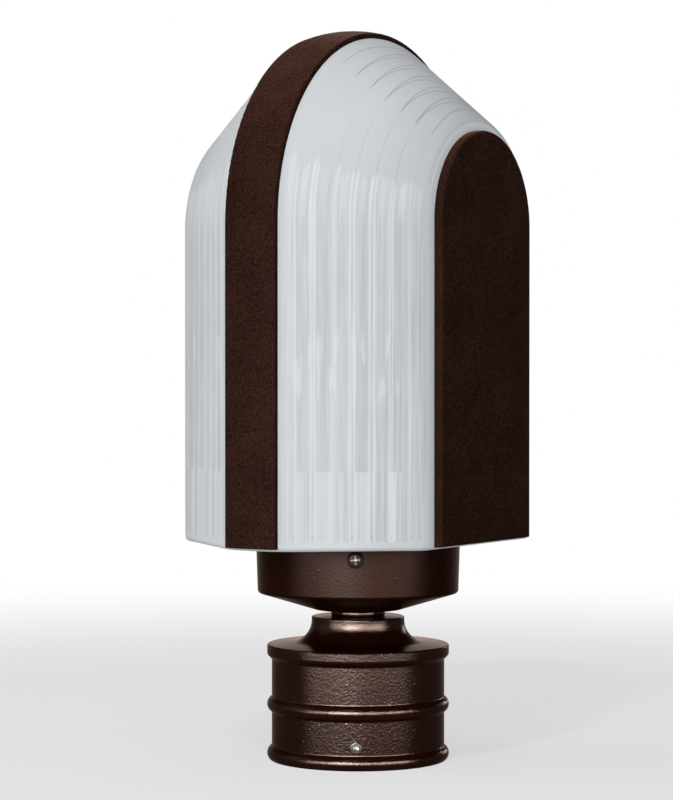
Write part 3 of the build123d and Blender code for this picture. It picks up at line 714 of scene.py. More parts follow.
    def shading(self, rib: Value, side: Value, height: Value) -> Value:
        """Darker plain border beside the ribs, darker middle height, and painted shade towards the
        ends by the end panels.

        Args:
            rib: place across the ribs, in ribs.
            side: distance from the middle of the glass along X.
            height: height over the origin.

        Returns:
            Change of tone, dark above zero.
        """
        border = 1 - rib.step(*self.border_zone)
        belt = 1 - abs(height - self.dim_middle).step(*self.dim_reach)
        # the last term is painted shade towards the end panels
        return (border * self.border_weight + belt * self.dim_weight
                + side.step(*self.side_zone) * self.side_weight)


@dataclass(frozen=True)
class ClearGlass:
    """Inner ribbed skin of the glass, which lets most of the light by."""

    colour: Colour = (0.80, 0.83, 0.86)
    mist_colour: Colour = (0.72, 0.75, 0.78)
    mist: float = 9 * MM
    alpha: Pair = (0.1, 0.2)
    roughness: float = 0.3

    def material(self) -> bpy.types.Material:
        """Build the finish.

        Returns:
            The material.
        """
        shader = Shader("clear_glass", {"Roughness": self.roughness})
        mist = shader.noise(self.mist)
        shader.paint(mist, self.colour, self.mist_colour)
        thin, thick = self.alpha
        shader.feed("Alpha", mist * (thick - thin) + thin)
        return shader.material


class Workbench:
    """Edit-mode helpers that model one new piece with operators."""

    def __init__(self, name: str) -> None:
        """Start an empty piece in edit mode.

        Args:
            name: name of the piece.
        """
        self.leave()
        bpy.ops.object.select_all(action="DESELECT")
        bpy.ops.mesh.primitive_plane_add(size=MM)
        self.piece = bpy.context.object
        self.piece.name = self.piece.data.name = name
        bpy.ops.object.mode_set(mode="EDIT")
        bpy.ops.mesh.select_all(action="SELECT")
        bpy.ops.mesh.delete(type="VERT")

    @staticmethod
    def leave() -> None:
        """Go back to object mode."""
        if bpy.context.object is not None and bpy.context.object.mode != "OBJECT":
            bpy.ops.object.mode_set(mode="OBJECT")

    def pick_edges(self, test: Test) -> None:
        """Select edges by the place of their middle.

        Args:
            test: True for a place, in metres, that is picked.
        """
        bpy.ops.mesh.select_mode(type="EDGE")
        bpy.ops.mesh.select_all(action="DESELECT")
        bpy.ops.object.mode_set(mode="OBJECT")
        mesh = self.piece.data
        points = [v.co for v in mesh.vertices]
        middles = ((points[e.vertices[0]] + points[e.vertices[1]]) / 2 for e in mesh.edges)
        mesh.edges.foreach_set("select", [test(p) for p in middles])
        bpy.ops.object.mode_set(mode="EDIT")

    def trace(self, points: Sequence[Point]) -> None:
        """Draw an open outline by extruding a corner from point to point, left selected.

        Args:
            points: places in metres.
        """
        bpy.ops.mesh.select_mode(type="VERT")
        bpy.ops.mesh.select_all(action="DESELECT")
        bpy.ops.mesh.primitive_plane_add(size=MM, location=points[0])
        bpy.ops.mesh.merge(type="CENTER")
        for near, far in zip(points, points[1:]):
            self.pull(Vector(far) - Vector(near))
        bpy.ops.mesh.select_linked()

    def pull(self, step: Point | Vector) -> None:
        """Extrude what is selected along a step, in metres."""
        bpy.ops.mesh.extrude_region_move(TRANSFORM_OT_translate={"value": step})

    def spread(self, factor: float) -> None:
        """Scale what is selected about the vertical axis."""
        bpy.ops.transform.resize(value=(factor, factor, 1.0), center_override=ORIGIN)

    def lathe(self, rings: Sequence[Pair]) -> None:
        """Extrude the selected ring to further rings about the vertical axis.

        Args:
            rings: radius and height of the selected ring and of each further one, in millimetres.
        """
        for (radius, height), (wide, level) in zip(rings, rings[1:]):
            self.pull((0, 0, (level - height) * MM))
            self.spread(wide / radius)

    def weld(self, distance: float = WELD_GAP) -> None:
        """Merge doubles and turn the faces outwards.

        Args:
            distance: distance in metres under which corners are merged.
        """
        bpy.ops.mesh.select_all(action="SELECT")
        bpy.ops.mesh.remove_doubles(threshold=distance)
        bpy.ops.mesh.normals_make_consistent(inside=False)

    def done(self, smooth_angle: float = 35.0) -> bpy.types.Object:
        """Finish the piece with smooth faces.

        Args:
            smooth_angle: sharpest angle in degrees that is shaded smooth.

        Returns:
            The finished object.
        """
        self.leave()
        bpy.ops.object.select_all(action="DESELECT")
        self.piece.select_set(True)
        bpy.context.view_layer.objects.active = self.piece
        bpy.ops.object.transform_apply(location=True, rotation=True, scale=True)
        bpy.ops.object.shade_smooth_by_angle(angle=math.radians(smooth_angle))
        return self.piece


def at_level(height: float, near: float = NEAR) -> Test:
    """Test for places at a height in millimetres."""
    return lambda p: abs(p.z - height * MM) < near


def add_ring(radius: float, height: float, sides: int) -> None:
    """Add a ring about the axis; sizes in millimetres."""
    bpy.ops.mesh.primitive_circle_add(vertices=sides, radius=radius * MM,
                                      location=(0, 0, height * MM))


def rounded(corners: Sequence[Pair], radii: Sequence[float], steps: int = 6) -> Plan:
    """Open outline with rounded corners.

    Args:
        corners: corners of the outline, in any unit.
        radii: radius at each corner but the first and last; 0 keeps the corner.
        steps: points along each round less one.

    Returns:
        Points of the rounded outline.
    """
    made = [corners[0]]
    for before, corner, after, radius in zip(corners, corners[1:], corners[2:], radii):
        if not radius:
            made.append(corner)
            continue
        here = Vector(corner)
        back = (Vector(before) - here).normalized()
        on = (Vector(after) - here).normalized()
        half = math.acos(max(-1.0, min(1.0, back.dot(on)))) / 2
        middle = here + (back + on).normalized() * (radius / math.sin(half))
        start = here + back * (radius / math.tan(half)) - middle
        turn = math.pi - 2 * half
        if back.x * on.y - back.y * on.x > 0:
            turn = -turn
        for i in range(steps + 1):
            angle = turn * i / steps
            made.append((middle.x + start.x * math.cos(angle) - start.y * math.sin(angle),
                         middle.y + start.x * math.sin(angle) + start.y * math.cos(angle)))
    made.append(corners[-1])
    return made


def both_sides(half: Plan) -> Plan:
    """Whole outline from its +X half, which starts on the middle line."""
    return [(-x, y) for x, y in half[:0:-1]] + half


@dataclass
class RibbedShade:
    """Pressed glass shade with ribs inside and a round neck below; sizes in millimetres."""

    bottom: float = 112.7
    bottom_round: float = 2.4
    floor: float = 4.0
    spring: float = 271.0
    arch: float = 100.0
    length: float = 142.8
    end: float = 54.0
    crest: float = 16.1
    crest_drop: float = 2.4
    corner: float = 6.0
    wall: float = 4.2
    rib_count: int = 6
    rib_depth: float = 1.5
    end_margin: float = 2.0
    crest_margin: float = 8.0
    neck: float = 49.0
    bore: float = 44.5
    neck_foot: float = 91.5
    spin_steps: int = 72
    neck_sides: int = 96
    neck_slack: float = 0.05
    arc_steps: int = 6
    skin: float = 0.5
    bore_slack: float = 0.3
    end_slack: float = 0.3
    wall_slack: float = 0.6

    @property
    def crown(self) -> float:
        """Radius of the arc over the crest, seen from above."""
        return (self.crest ** 2 + self.crest_drop ** 2) / (2 * self.crest_drop)

    @property
    def slope(self) -> float:
        """Angle of the slanted walls to the X axis."""
        return math.atan2(self.arch - self.crest_drop - self.end, self.length / 2 - self.crest)

    @property
    def floor_top(self) -> float:
        """Height of the floor of the hollow."""
        return self.bottom + self.floor

    def over_crest(self, edge: float, radius: float, top: float) -> Plan:
        """Arc from the middle of the crest to its edge.

        Args:
            edge: place of the end along X.
            radius: radius of the arc.
            top: distance of its middle from the arch's axis.

        Returns:
            Points from the middle on.
        """
        places = [edge * i / self.arc_steps for i in range(self.arc_steps + 1)]
        return [(x, -(top - radius + math.sqrt(radius ** 2 - x ** 2))) for x in places]

    def outer_plan(self) -> Plan:
        """Half outline of the outside, seen from above.

        Returns:
            Points from -X round the front to +X.
        """
        side = self.length / 2
        arc = self.over_crest(self.crest, self.crown, self.arch)
        radii = [0.0] * (len(arc) - 2) + [self.corner, self.corner]
        return both_sides(rounded(arc + [(side, -self.end), (side, 0.0)], radii))

    def hollow_line(self) -> tuple[Vector, Vector]:
        """Slanted inner wall in front, seen from above.

        Returns:
            Its ends at the crest and at the end of the glass.
        """
        tilt = math.asin(self.crest / self.crown)
        turn = (self.slope + tilt) / 2
        shoulder = Vector((self.crest, self.arch - self.crest_drop))
        crest = shoulder - Vector((math.sin(turn), math.cos(turn))) * (
            self.wall / math.cos((self.slope - tilt) / 2))
        end = Vector((self.length / 2 - self.wall,
                      self.end - self.wall * math.tan(math.pi / 4 - self.slope / 2)))
        return crest, end

    def rib_feet(self) -> list[Vector]:
        """Valleys beside the ribs, seen from above.

        Returns:
            Their places from the crest to the end of the glass.
        """
        crest, end = self.hollow_line()
        along = (end - crest).normalized()
        pitch = ((end - crest).length - self.crest_margin - self.end_margin) / self.rib_count
        return [crest + along * (self.crest_margin + pitch * i) for i in range(self.rib_count + 1)]

    def inner_plan(self, bumps: int = 8) -> Plan:
        """Half outline of the hollow, with a round rib between each two valleys.

        Args:
            bumps: segments of each rib.

        Returns:
            Points from -X round the front to +X.
        """
        crest, end = self.hollow_line()
        half = self.over_crest(crest.x, self.crown - self.wall, self.arch - self.wall)[:-1]
        half.append((crest.x, -crest.y))
        inward = Vector((-math.sin(self.slope), -math.cos(self.slope)))
        feet = self.rib_feet()
        for near, far in zip(feet, feet[1:]):
            for i in range(bumps):
                rise = self.rib_depth * math.sin(math.pi * i / bumps)
                spot = near.lerp(far, i / bumps) + inward * rise
                half.append((spot.x, -spot.y))
        half += [(feet[-1].x, -feet[-1].y), (end.x, -end.y), (end.x, 0.0)]
        return both_sides(half)

    def lip_rings(self, steps: int = 8) -> list[Pair]:
        """Rings of the round lip at the foot of the neck, from its outside to its bore.

        Args:
            steps: segments of the round.

        Returns:
            Radius and height of each ring.
        """
        lip = (self.neck - self.bore) / 2
        angles = [math.pi * i / steps for i in range(steps + 1)]
        return [(self.bore + lip + lip * math.cos(a), self.neck_foot + lip - lip * math.sin(a))
                for a in angles]

    def shell(self, bench: Workbench, plan: Plan, foot: float) -> None:
        """Arched shell over a half outline: spun over the top, then drawn down to a height.

        Args:
            bench: piece that the shell is modelled in.
            plan: half outline in millimetres.
            foot: height of its lower edge.
        """
        spring = self.spring * MM
        bench.trace([(x * MM, y * MM, spring) for x, y in plan[::-1]])
        bpy.ops.mesh.spin(steps=self.spin_steps, angle=math.pi, center=(0, 0, spring), axis=(1, 0, 0))
        bpy.ops.mesh.select_linked()
        bpy.ops.mesh.remove_doubles(threshold=WELD_GAP)
        bpy.ops.mesh.select_mode(type="EDGE")
        bpy.ops.mesh.region_to_loop()
        bench.pull((0, 0, (foot - self.spring) * MM))

    def round_foot(self, bench: Workbench, steps: int = 5) -> None:
        """Round the lower edge of the outside, whose loop is selected.

        Args:
            bench: piece that the shell is modelled in.
            steps: segments of the round.
        """
        side, depth = self.length / 2, self.arch
        inset, height = 0.0, self.bottom + self.bottom_round
        for i in range(1, steps + 1):
            angle = math.pi / 2 * i / steps
            before, inset = inset, self.bottom_round * (1 - math.cos(angle))
            below, height = height, self.bottom + self.bottom_round * (1 - math.sin(angle))
            bench.pull((0, 0, (height - below) * MM))
            scale = ((side - inset) / (side - before), (depth - inset) / (depth - before), 1.0)
            bpy.ops.transform.resize(value=scale, center_override=ORIGIN)

    def neck_edge(self) -> Test:
        """Ring where the neck meets the bottom of the glass.

        Returns:
            Test for the middles of its edges.
        """
        middle = self.neck * MM * math.cos(math.pi / self.neck_sides)
        slack = self.neck_slack * MM
        level = at_level(self.bottom)
        return lambda p: level(p) and abs(math.hypot(p.x, p.y) - middle) < slack

    def glass(self) -> bpy.types.Object:
        """Model the glass: outer shell, floor, round neck and ribbed hollow.

        Returns:
            The glass, without its skins.
        """
        bench = Workbench("ribbed_glass")
        self.shell(bench, self.outer_plan(), self.bottom + self.bottom_round)
        self.round_foot(bench)
        add_ring(self.neck, self.bottom, self.neck_sides)
        bench.pick_edges(at_level(self.bottom))
        bpy.ops.mesh.fill()
        bench.pick_edges(self.neck_edge())
        bench.lathe([(self.neck, self.bottom), *self.lip_rings(), (self.bore, self.floor_top)])
        self.shell(bench, self.inner_plan(), self.floor_top)
        bench.pick_edges(at_level(self.floor_top))
        bpy.ops.mesh.fill()
        bench.weld()
        return bench.done()

    def dress(self, glass: bpy.types.Object) -> None:
        """Give the glass its two skins: milky outside, clear on the ribbed hollow.

        Args:
            glass: the modelled glass.
        """
        glass.data.materials.clear()
        feet = self.rib_feet()
        pitch = (feet[-1].x - feet[0].x) / self.rib_count
        milk = MilkGlass(feet[-1].x, pitch, self.rib_count, self.spring, self.floor_top)
        for finish in (milk, ClearGlass()):
            glass.data.materials.append(finish.material())
        for face in glass.data.polygons:
            before = face.center + face.normal * self.skin * MM
            face.material_index = int(self.in_hollow(before))

    def in_hollow(self, point: Vector) -> bool:
        """Tell the hollow of the glass and the bore of its neck from the outside.

        Args:
            point: place in metres, just off the glass.

        Returns:
            True inside.
        """
        x, y, z = point / MM
        if z < self.floor_top:
            return math.hypot(x, y) < self.bore + self.bore_slack
        across = math.hypot(y, max(z - self.spring, 0.0))
        end = self.length / 2 - self.wall
        reach = self.arch - self.wall - max(abs(x) - self.crest, 0.0) * math.tan(self.slope)
        return abs(x) < end + self.end_slack and across < reach + self.wall_slack

    def build(self) -> bpy.types.Object:
        """Model, dress and seat the glass.

        Returns:
            The finished glass.
        """
        glass = self.glass()
        self.dress(glass)
        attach(glass, "shade")
        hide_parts("glass_shade")
        LOG.info("modelled %s", glass.name)
        return glass


@dataclass(frozen=True)
class Fastener:
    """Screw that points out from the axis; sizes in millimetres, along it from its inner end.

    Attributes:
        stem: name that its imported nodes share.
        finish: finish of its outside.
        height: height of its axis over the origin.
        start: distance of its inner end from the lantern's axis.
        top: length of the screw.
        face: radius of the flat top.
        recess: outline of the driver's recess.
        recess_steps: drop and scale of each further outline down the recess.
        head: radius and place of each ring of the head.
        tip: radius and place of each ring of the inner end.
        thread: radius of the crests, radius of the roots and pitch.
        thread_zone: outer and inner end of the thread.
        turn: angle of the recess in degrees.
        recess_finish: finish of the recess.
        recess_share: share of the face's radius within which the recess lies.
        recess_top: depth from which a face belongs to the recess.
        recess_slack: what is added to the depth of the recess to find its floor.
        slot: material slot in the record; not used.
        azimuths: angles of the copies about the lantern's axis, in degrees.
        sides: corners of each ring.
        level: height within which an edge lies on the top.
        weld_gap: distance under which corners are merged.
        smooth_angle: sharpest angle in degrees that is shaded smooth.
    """

    stem: str
    finish: str
    height: float
    start: float
    top: float
    face: float
    recess: tuple[Pair, ...]
    recess_steps: tuple[Pair, ...]
    head: tuple[Pair, ...]
    tip: tuple[Pair, ...]
    thread: tuple[float, float, float]
    thread_zone: Pair
    turn: float
    recess_finish: str = "worn_steel"
    recess_share: float = 0.97
    recess_top: float = 0.01
    recess_slack: float = 0.05
    slot: str = "bright_steel"
    azimuths: tuple[float, float, float] = (-60.0, 60.0, 180.0)
    sides: int = 48
    level: float = 0.001
    weld_gap: float = 0.002
    smooth_angle: float = 40.0

    @property
    def nodes(self) -> list[str]:
        """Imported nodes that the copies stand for."""
        return [f"{self.stem}_{i + 1}" for i in range(len(self.azimuths))]

    def outline(self) -> list[Pair]:
        """Rings of the outside, from the rim of the top to the inner end.

        Returns:
            Radius and height of each ring.
        """
        crest, root, pitch = self.thread
        high, low = self.thread_zone
        rings = [(self.face, self.top), *self.head]
        for i in range(int((high - low) / pitch)):
            rings += [(root, high - (i + 0.5) * pitch), (crest, high - (i + 1) * pitch)]
        return rings + list(self.tip)

    def model(self) -> bpy.types.Object:
        """Model the screw upright at the origin.

        Returns:
            The screw that the copies are made from.
        """
        bench = Workbench(self.stem)
        corners = [(x * MM, y * MM, self.top * MM) for x, y in self.recess]
        bench.trace(corners + corners[:1])
        bpy.ops.mesh.remove_doubles(threshold=WELD_GAP)
        for drop, factor in self.recess_steps:
            bench.pull((0, 0, -drop * MM))
            bench.spread(factor)
        bpy.ops.mesh.edge_face_add()
        add_ring(self.face, self.top, self.sides)
        on_top = at_level(self.top, self.level * MM)
        bench.pick_edges(on_top)
        bpy.ops.mesh.fill()
        rim = self.face * MM * math.cos(math.pi / self.sides) - WELD_GAP
        bench.pick_edges(lambda p: on_top(p) and math.hypot(p.x, p.y) > rim)
        bench.lathe(self.outline())
        bpy.ops.mesh.edge_face_add()
        bench.weld(self.weld_gap * MM)
        return bench.done(self.smooth_angle)

    def dress(self, piece: bpy.types.Object, palette: Palette) -> None:
        """Give the screw its finish, with worn metal in the recess.

        Args:
            piece: the modelled screw.
            palette: finishes as materials.
        """
        piece.data.materials.clear()
        for name in (self.finish, self.recess_finish):
            piece.data.materials.append(palette[name])
        deep = sum(drop for drop, _ in self.recess_steps) + self.recess_slack
        for face in piece.data.polygons:
            x, y, z = face.center / MM
            within = math.hypot(x, y) < self.recess_share * self.face
            face.material_index = int(within and self.recess_top < self.top - z < deep)

    def build(self, palette: Palette) -> None:
        """Model the screw once, then copy it to its three places.

        Args:
            palette: finishes as materials.
        """
        pattern = self.model()
        self.dress(pattern, palette)
        out = Matrix.Translation((self.start * MM, 0, self.height * MM))
        tilt = Matrix.Rotation(math.pi / 2, 4, "Y")
        spin = Matrix.Rotation(math.radians(self.turn), 4, "Z")
        for node, azimuth in zip(self.nodes, self.azimuths):
            bpy.ops.object.select_all(action="DESELECT")
            pattern.select_set(True)
            bpy.context.view_layer.objects.active = pattern
            bpy.ops.object.duplicate(linked=False)
            piece = bpy.context.object
            piece.name = piece.data.name = f"{node}_detail"
            around = Matrix.Rotation(math.radians(azimuth), 4, "Z")
            piece.matrix_world = around @ out @ tilt @ spin
            bpy.ops.object.transform_apply(location=True, rotation=True, scale=True)
            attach(piece, node)
            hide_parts(node)
            LOG.info("modelled %s", piece.name)
        bpy.data.objects.remove(pattern)


def cross(length: float, width: float) -> tuple[Pair, ...]:
    """Outline of a cross.

    Args:
        length: length over two opposite arms.
        width: width of an arm.

    Returns:
        Its corners.
    """
    arm, half = length / 2, width / 2
    quarter = [(half, arm), (half, half), (arm, half)]
    return tuple((x * math.cos(a) - y * math.sin(a), x * math.sin(a) + y * math.cos(a))
                 for a in (-i * math.pi / 2 for i in range(4)) for x, y in quarter)


def hexagon(flats: float) -> tuple[Pair, ...]:
    """Outline of a hexagon.

    Args:
        flats: width over its flats.

    Returns:
        Its corners.
    """
    corner = flats / math.sqrt(3)
    angles = [i * math.pi / 3 for i in range(6)]
    return tuple((corner * math.cos(a), corner * math.sin(a)) for a in angles)


def round_shoulder(face: float, top: float, bend: float) -> tuple[Pair, ...]:
    """Rings of the round edge of a screw's head.

    Args:
        face: radius of the flat top.
        top: height of the flat top.
        bend: radius of the round.

    Returns:
        Radius and height of each ring.
    """
    angles = (0.26, 0.52, 0.79, 1.05, 1.31, 1.57)
    return tuple((face + bend * math.sin(a), top - bend + bend * math.cos(a)) for a in angles)


class Fastening(Enum):
    """Screws of the lantern head."""

    SHADE_SCREW = Fastener(
        stem="shade_screw", finish="screw_bronze", height=106.3, start=50.05, top=8.0, face=2.42,
        recess=cross(4.4, 1.25), recess_steps=((0.9, 0.72), (0.6, 0.5)),
        head=round_shoulder(2.42, 8.0, 1.68) + ((4.1, 5.45), (3.9, 5.2), (2.0, 5.2)),
        tip=((1.6, 0.0),), thread=(2.0, 1.68, 0.8), thread_zone=(5.2, 0.35), turn=4.0)
    FITTER_SCREW = Fastener(
        stem="fitter_screw", finish="set_screw", height=11.6, start=38.9, top=6.05, face=2.5,
        recess=hexagon(3.0), recess_steps=((2.4, 0.98), (0.6, 0.1)),
        head=((2.75, 5.97), (3.0, 5.65)),
        tip=((2.6, 0.0), (2.1, 0.0), (1.1, 0.7)), thread=(3.0, 2.62, 1.0), thread_zone=(5.65, 0.4),
        turn=12.0)


@dataclass(frozen=True)
class NeckRing:
    """Barrel-shaped neck between the fitter and the cup; sizes in millimetres."""

    node: str = "neck_collar"
    finish: str = "neck_bronze"
    bore: float = 5.15
    radius: float = 13.9
    barrel: float = 5.0
    low: float = 73.5
    high: float = 77.0
    steps: int = 12
    sides: int = 96

    def rings(self) -> list[Pair]:
        """Rings of the outside, from the bottom to the top.

        Returns:
            Radius and height of each ring.
        """
        middle = (self.low + self.high) / 2
        inset = self.radius - self.barrel
        rise = (self.high - self.low) / self.steps
        heights = [self.low + rise * i for i in range(self.steps + 1)]
        return [(inset + math.sqrt(self.barrel ** 2 - (z - middle) ** 2), z) for z in heights]

    def build(self, palette: Palette) -> bpy.types.Object:
        """Model the neck ring by ring, then close it along its bore.

        Args:
            palette: finishes as materials.

        Returns:
            The neck.
        """
        bench = Workbench(self.node)
        rings = self.rings()
        add_ring(*rings[0], self.sides)
        bench.lathe([*rings, (self.bore, self.high), (self.bore, self.low), rings[0]])
        bench.weld()
        piece = bench.done()
        piece.name = piece.data.name = f"{self.node}_detail"
        piece.data.materials.append(palette[self.finish])
        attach(piece, "fixture")
        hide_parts(self.node)
        LOG.info("modelled %s", piece.name)
        return piece


class Fixture:
    """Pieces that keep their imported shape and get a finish."""

    FINISHES = {"holder_cup": "spun_bronze"}
    CASTINGS = ("post_fitter", "holder_cup")
    TRIM = ("centre_strap", "end_panel_left", "end_panel_right")

    def __init__(self, frame: Mapping[str, Any]) -> None:
        """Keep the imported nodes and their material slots."""
        self.nodes: dict[str, bpy.types.Object] = frame["nodes"]
        self.slots = {p["node"]: p["material_slot"] for p in frame["record"]["subparts"]}

    def dress(self, palette: Palette, hidden: Sequence[str]) -> None:
        """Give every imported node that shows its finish.

        Args:
            palette: finishes as materials.
            hidden: nodes that a new piece stands for.
        """
        for name, node in self.nodes.items():
            if name in hidden:
                continue
            key = self.FINISHES.get(name, self.slots[name])
            node.data.materials.clear()
            node.data.materials.append(palette[key])
            LOG.info("dressed %s in %s", name, key)

    def pieces(self, names: Sequence[str]) -> list[bpy.types.Object]:
        """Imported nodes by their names."""
        return [self.nodes[name] for name in names]


class LitGroup(Enum):
    """Groups of pieces that have lamps of their own."""

    PAINTED = "painted"
    TRIM = "trim"
    GLASS = "glass"


@dataclass(frozen=True)
class SoftLamp:
    """Rectangular lamp that faces the object; sizes in metres, angles in degrees.

    Attributes:
        name: name of the lamp.
        size: width and height.
        radiance: brightness of its face.
        azimuth: angle from the camera's azimuth.
        elevation: angle over the level.
        reach: distance from its target.
        target: height of the place on the axis that it faces.
        gloss_only: whether only glossy surfaces show its light.
        group: pieces that it lights, or all.
    """

    name: str
    size: Pair
    radiance: float
    azimuth: float
    elevation: float
    reach: float = 2.0
    target: float = 0.2
    gloss_only: bool = False
    group: LitGroup | None = None

    def hang(self, front: float, groups: Mapping[LitGroup, bpy.types.Collection]) -> None:
        """Place the lamp.

        Args:
            front: azimuth of the camera.
            groups: pieces of each group.
        """
        data = bpy.data.lights.new(self.name, "AREA")
        data.shape = "RECTANGLE"
        data.size, data.size_y = self.size
        data.energy = self.radiance * math.pi * self.size[0] * self.size[1]
        turn, rise = math.radians(front + self.azimuth), math.radians(self.elevation)
        back = Vector((math.sin(turn) * math.cos(rise), -math.cos(turn) * math.cos(rise),
                       math.sin(rise)))
        lamp = bpy.data.objects.new(self.name, data)
        lamp.location = back * self.reach + Vector((0, 0, self.target))
        lamp.rotation_euler = back.to_track_quat("Z", "Y").to_euler()
        lamp.visible_camera = False
        lamp.visible_diffuse = lamp.visible_transmission = not self.gloss_only
        if self.group is not None:
            lamp.light_linking.receiver_collection = groups[self.group]
        bpy.context.scene.collection.objects.link(lamp)


def sheen(name: str, size: Pair, radiance: float, azimuth: float, elevation: float,
          **aim: float) -> SoftLamp:
    """Lamp that adds only gloss, and only to the painted pieces.

    Args:
        name: name of the lamp.
        size: width and height.
        radiance: brightness of its face.
        azimuth: angle from the camera's azimuth.
        elevation: angle over the level.
        aim: its reach and target, where they aren't the usual ones.

    Returns:
        The lamp.
    """
    return SoftLamp(name, size, radiance, azimuth, elevation, **aim, gloss_only=True,
                    group=LitGroup.PAINTED)


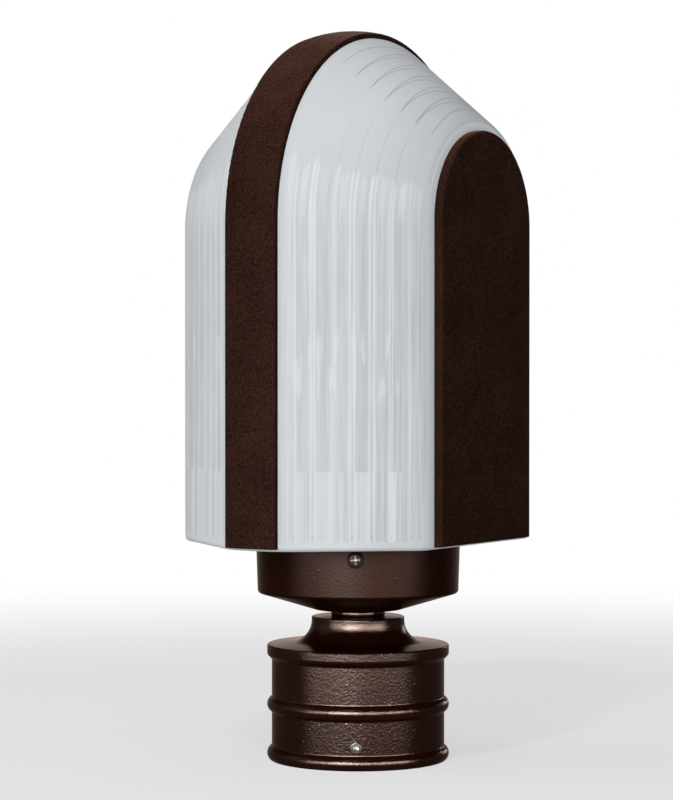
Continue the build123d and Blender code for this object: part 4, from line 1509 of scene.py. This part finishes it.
@dataclass
class Studio:
    """Pale floor, white backdrop, soft lamps and the camera; sizes in metres, angles in degrees."""

    azimuth: float = 31.3
    distance: float = 1.339
    height: float = 0.203
    pitch: float = 0.785
    yaw: float = 0.475
    focal: float = 117.0
    view_reach: float = 200.0
    floor_size: float = 6.2
    floor_sides: int = 64
    floor_greys: Pair = (0.55, 0.57)
    wall_reach: float = 6.0
    wall_height: float = 1.7
    wall_sides: int = 96
    wall_greys: Pair = (0.90, 0.92)
    stage_roughness: float = 0.9
    stage_mottle: float = 0.4
    shadow_reach: Pair = (0.35, 1.1)
    shadow_white: float = 0.6
    ambient: float = 0.08
    lamps: tuple[SoftLamp, ...] = (
        SoftLamp("left_soft", (1.2, 0.6), 8.5, -20, 7),
        SoftLamp("key", (0.16, 0.16), 130.0, -14, 46),
        SoftLamp("right_soft", (2.3, 0.6), 1.3, 38, 7),
        sheen("left_sheen", (1.36, 0.5), 200.0, -16, 10.4),
        sheen("right_sheen", (2.5, 0.5), 74.0, 35, 10.4),
        sheen("edge_sheen", (1.0, 0.5), 37.0, -49, 10.4),
        sheen("left_low", (1.36, 0.2), 44.0, -33, 0, reach=1.0, target=0.11),
        sheen("right_low", (1.36, 0.2), 28.0, 34, 0, reach=1.0, target=0.11),
        sheen("back_sheen", (0.9, 0.4), 2.0, 180, 7),
        sheen("rim_sheen", (0.08, 0.4), 110.0, 144, 4),
        SoftLamp("side_soft", (1.5, 1.5), 1.65, -88, 20),
        SoftLamp("top_soft", (2.0, 2.0), 1.0, 0, 89),
        SoftLamp("trim_top", (0.5, 0.5), 82.0, 149, 75, group=LitGroup.TRIM),
        SoftLamp("glass_side", (0.6, 0.36), 8.5, 72, 0, group=LitGroup.GLASS),
    )

    def camera(self) -> None:
        """Place the camera at the photographed view."""
        turn = math.radians(self.azimuth)
        data = bpy.data.cameras.new("view")
        data.lens = self.focal
        data.clip_end = self.view_reach
        camera = bpy.data.objects.new("view", data)
        camera.location = (math.sin(turn) * self.distance, -math.cos(turn) * self.distance,
                           self.height)
        camera.rotation_euler = (math.radians(90 - self.pitch), 0,
                                 math.radians(self.azimuth + self.yaw))
        bpy.context.scene.collection.objects.link(camera)
        bpy.context.scene.camera = camera

    @staticmethod
    def seen(shader: Shader) -> Value:
        """Tell what is seen from what lights other surfaces.

        Args:
            shader: material of a stage surface.

        Returns:
            One for a ray of sight, gloss or glass, and zero for other rays.
        """
        ray = shader.node("ShaderNodeLightPath").socket.node.outputs
        sight, gloss, glass = (Value(shader, ray[f"Is {name} Ray"])
                               for name in ("Camera", "Glossy", "Transmission"))
        return shader.math("MAXIMUM", shader.math("MAXIMUM", sight, gloss), glass)

    def whiten(self, shader: Shader, share: Term) -> None:
        """Let a stage surface show white where it is seen.

        Args:
            shader: material of the surface.
            share: how much of its own shading is covered.
        """
        white = shader.node("ShaderNodeEmission", {}, {"Color": (1, 1, 1, 1), "Strength": 1.0})
        shader.add(self.seen(shader) * share, white)

    def stage_paint(self, name: str, greys: Pair) -> Shader:
        """Start the matte paint of the floor or the backdrop.

        Args:
            name: name of the material.
            greys: darkest and lightest grey.

        Returns:
            The shader.
        """
        shader = Shader(name, {"Roughness": self.stage_roughness, "Specular IOR Level": 0.0})
        shader.paint(shader.noise(self.stage_mottle), *((grey, grey, grey) for grey in greys))
        return shader

    def floor(self) -> None:
        """Lay the pale floor, which keeps the shadow near the object."""
        Workbench.leave()
        bpy.ops.object.select_all(action="DESELECT")
        bpy.ops.mesh.primitive_circle_add(vertices=self.floor_sides, radius=self.floor_size,
                                          fill_type="NGON")
        floor = bpy.context.object
        floor.name = "floor"
        shader = self.stage_paint("floor", self.floor_greys)
        far = shader.node("ShaderNodeVectorMath", {"operation": "LENGTH"}, {0: shader.place()},
                          "Value")
        fade = far.step(*self.shadow_reach) * (1 - self.shadow_white)
        self.whiten(shader, fade + self.shadow_white)
        floor.data.materials.append(shader.material)

    def backdrop(self) -> None:
        """Stand a low white wall round the floor."""
        bpy.ops.object.select_all(action="DESELECT")
        bpy.ops.mesh.primitive_cylinder_add(
            vertices=self.wall_sides, radius=self.wall_reach, depth=self.wall_height,
            end_fill_type="NOTHING", location=(0, 0, self.wall_height / 2))
        wall = bpy.context.object
        wall.name = "backdrop"
        shader = self.stage_paint("backdrop", self.wall_greys)
        self.whiten(shader, 1.0)
        wall.data.materials.append(shader.material)

    def world(self) -> None:
        """Dim even surroundings."""
        world = bpy.data.worlds.new("studio")
        bpy.context.scene.world = world
        world.use_nodes = True
        background = world.node_tree.nodes["Background"]
        background.inputs["Color"].default_value = (1, 1, 1, 1)
        background.inputs["Strength"].default_value = self.ambient

    def build(self, groups: Mapping[LitGroup, Sequence[bpy.types.Object]]) -> None:
        """Set up the studio.

        Args:
            groups: pieces of each group that has lamps of its own.
        """
        bpy.context.scene.view_settings.view_transform = "Standard"
        self.world()
        self.floor()
        self.backdrop()
        lit = {group: bpy.data.collections.new(group.value) for group in groups}
        for group, pieces in groups.items():
            for piece in pieces:
                lit[group].objects.link(piece)
        for lamp in self.lamps:
            lamp.hang(self.azimuth, lit)
        self.camera()


def main() -> None:
    """Build the pieces in order, then the studio."""
    logging.basicConfig(level=logging.INFO)
    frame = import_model()
    palette = Palette()
    shade = RibbedShade().build()
    neck = NeckRing()
    collar = neck.build(palette)
    hidden = ["glass_shade", neck.node]
    for kind in Fastening:
        kind.value.build(palette)
        hidden += kind.value.nodes
    fixture = Fixture(frame)
    fixture.dress(palette, hidden)
    trim = fixture.pieces(fixture.TRIM)
    painted = [collar, *fixture.pieces(fixture.CASTINGS), *trim]
    Studio().build({LitGroup.PAINTED: painted, LitGroup.TRIM: trim, LitGroup.GLASS: [shade]})


if __name__ == "__main__":
    main()
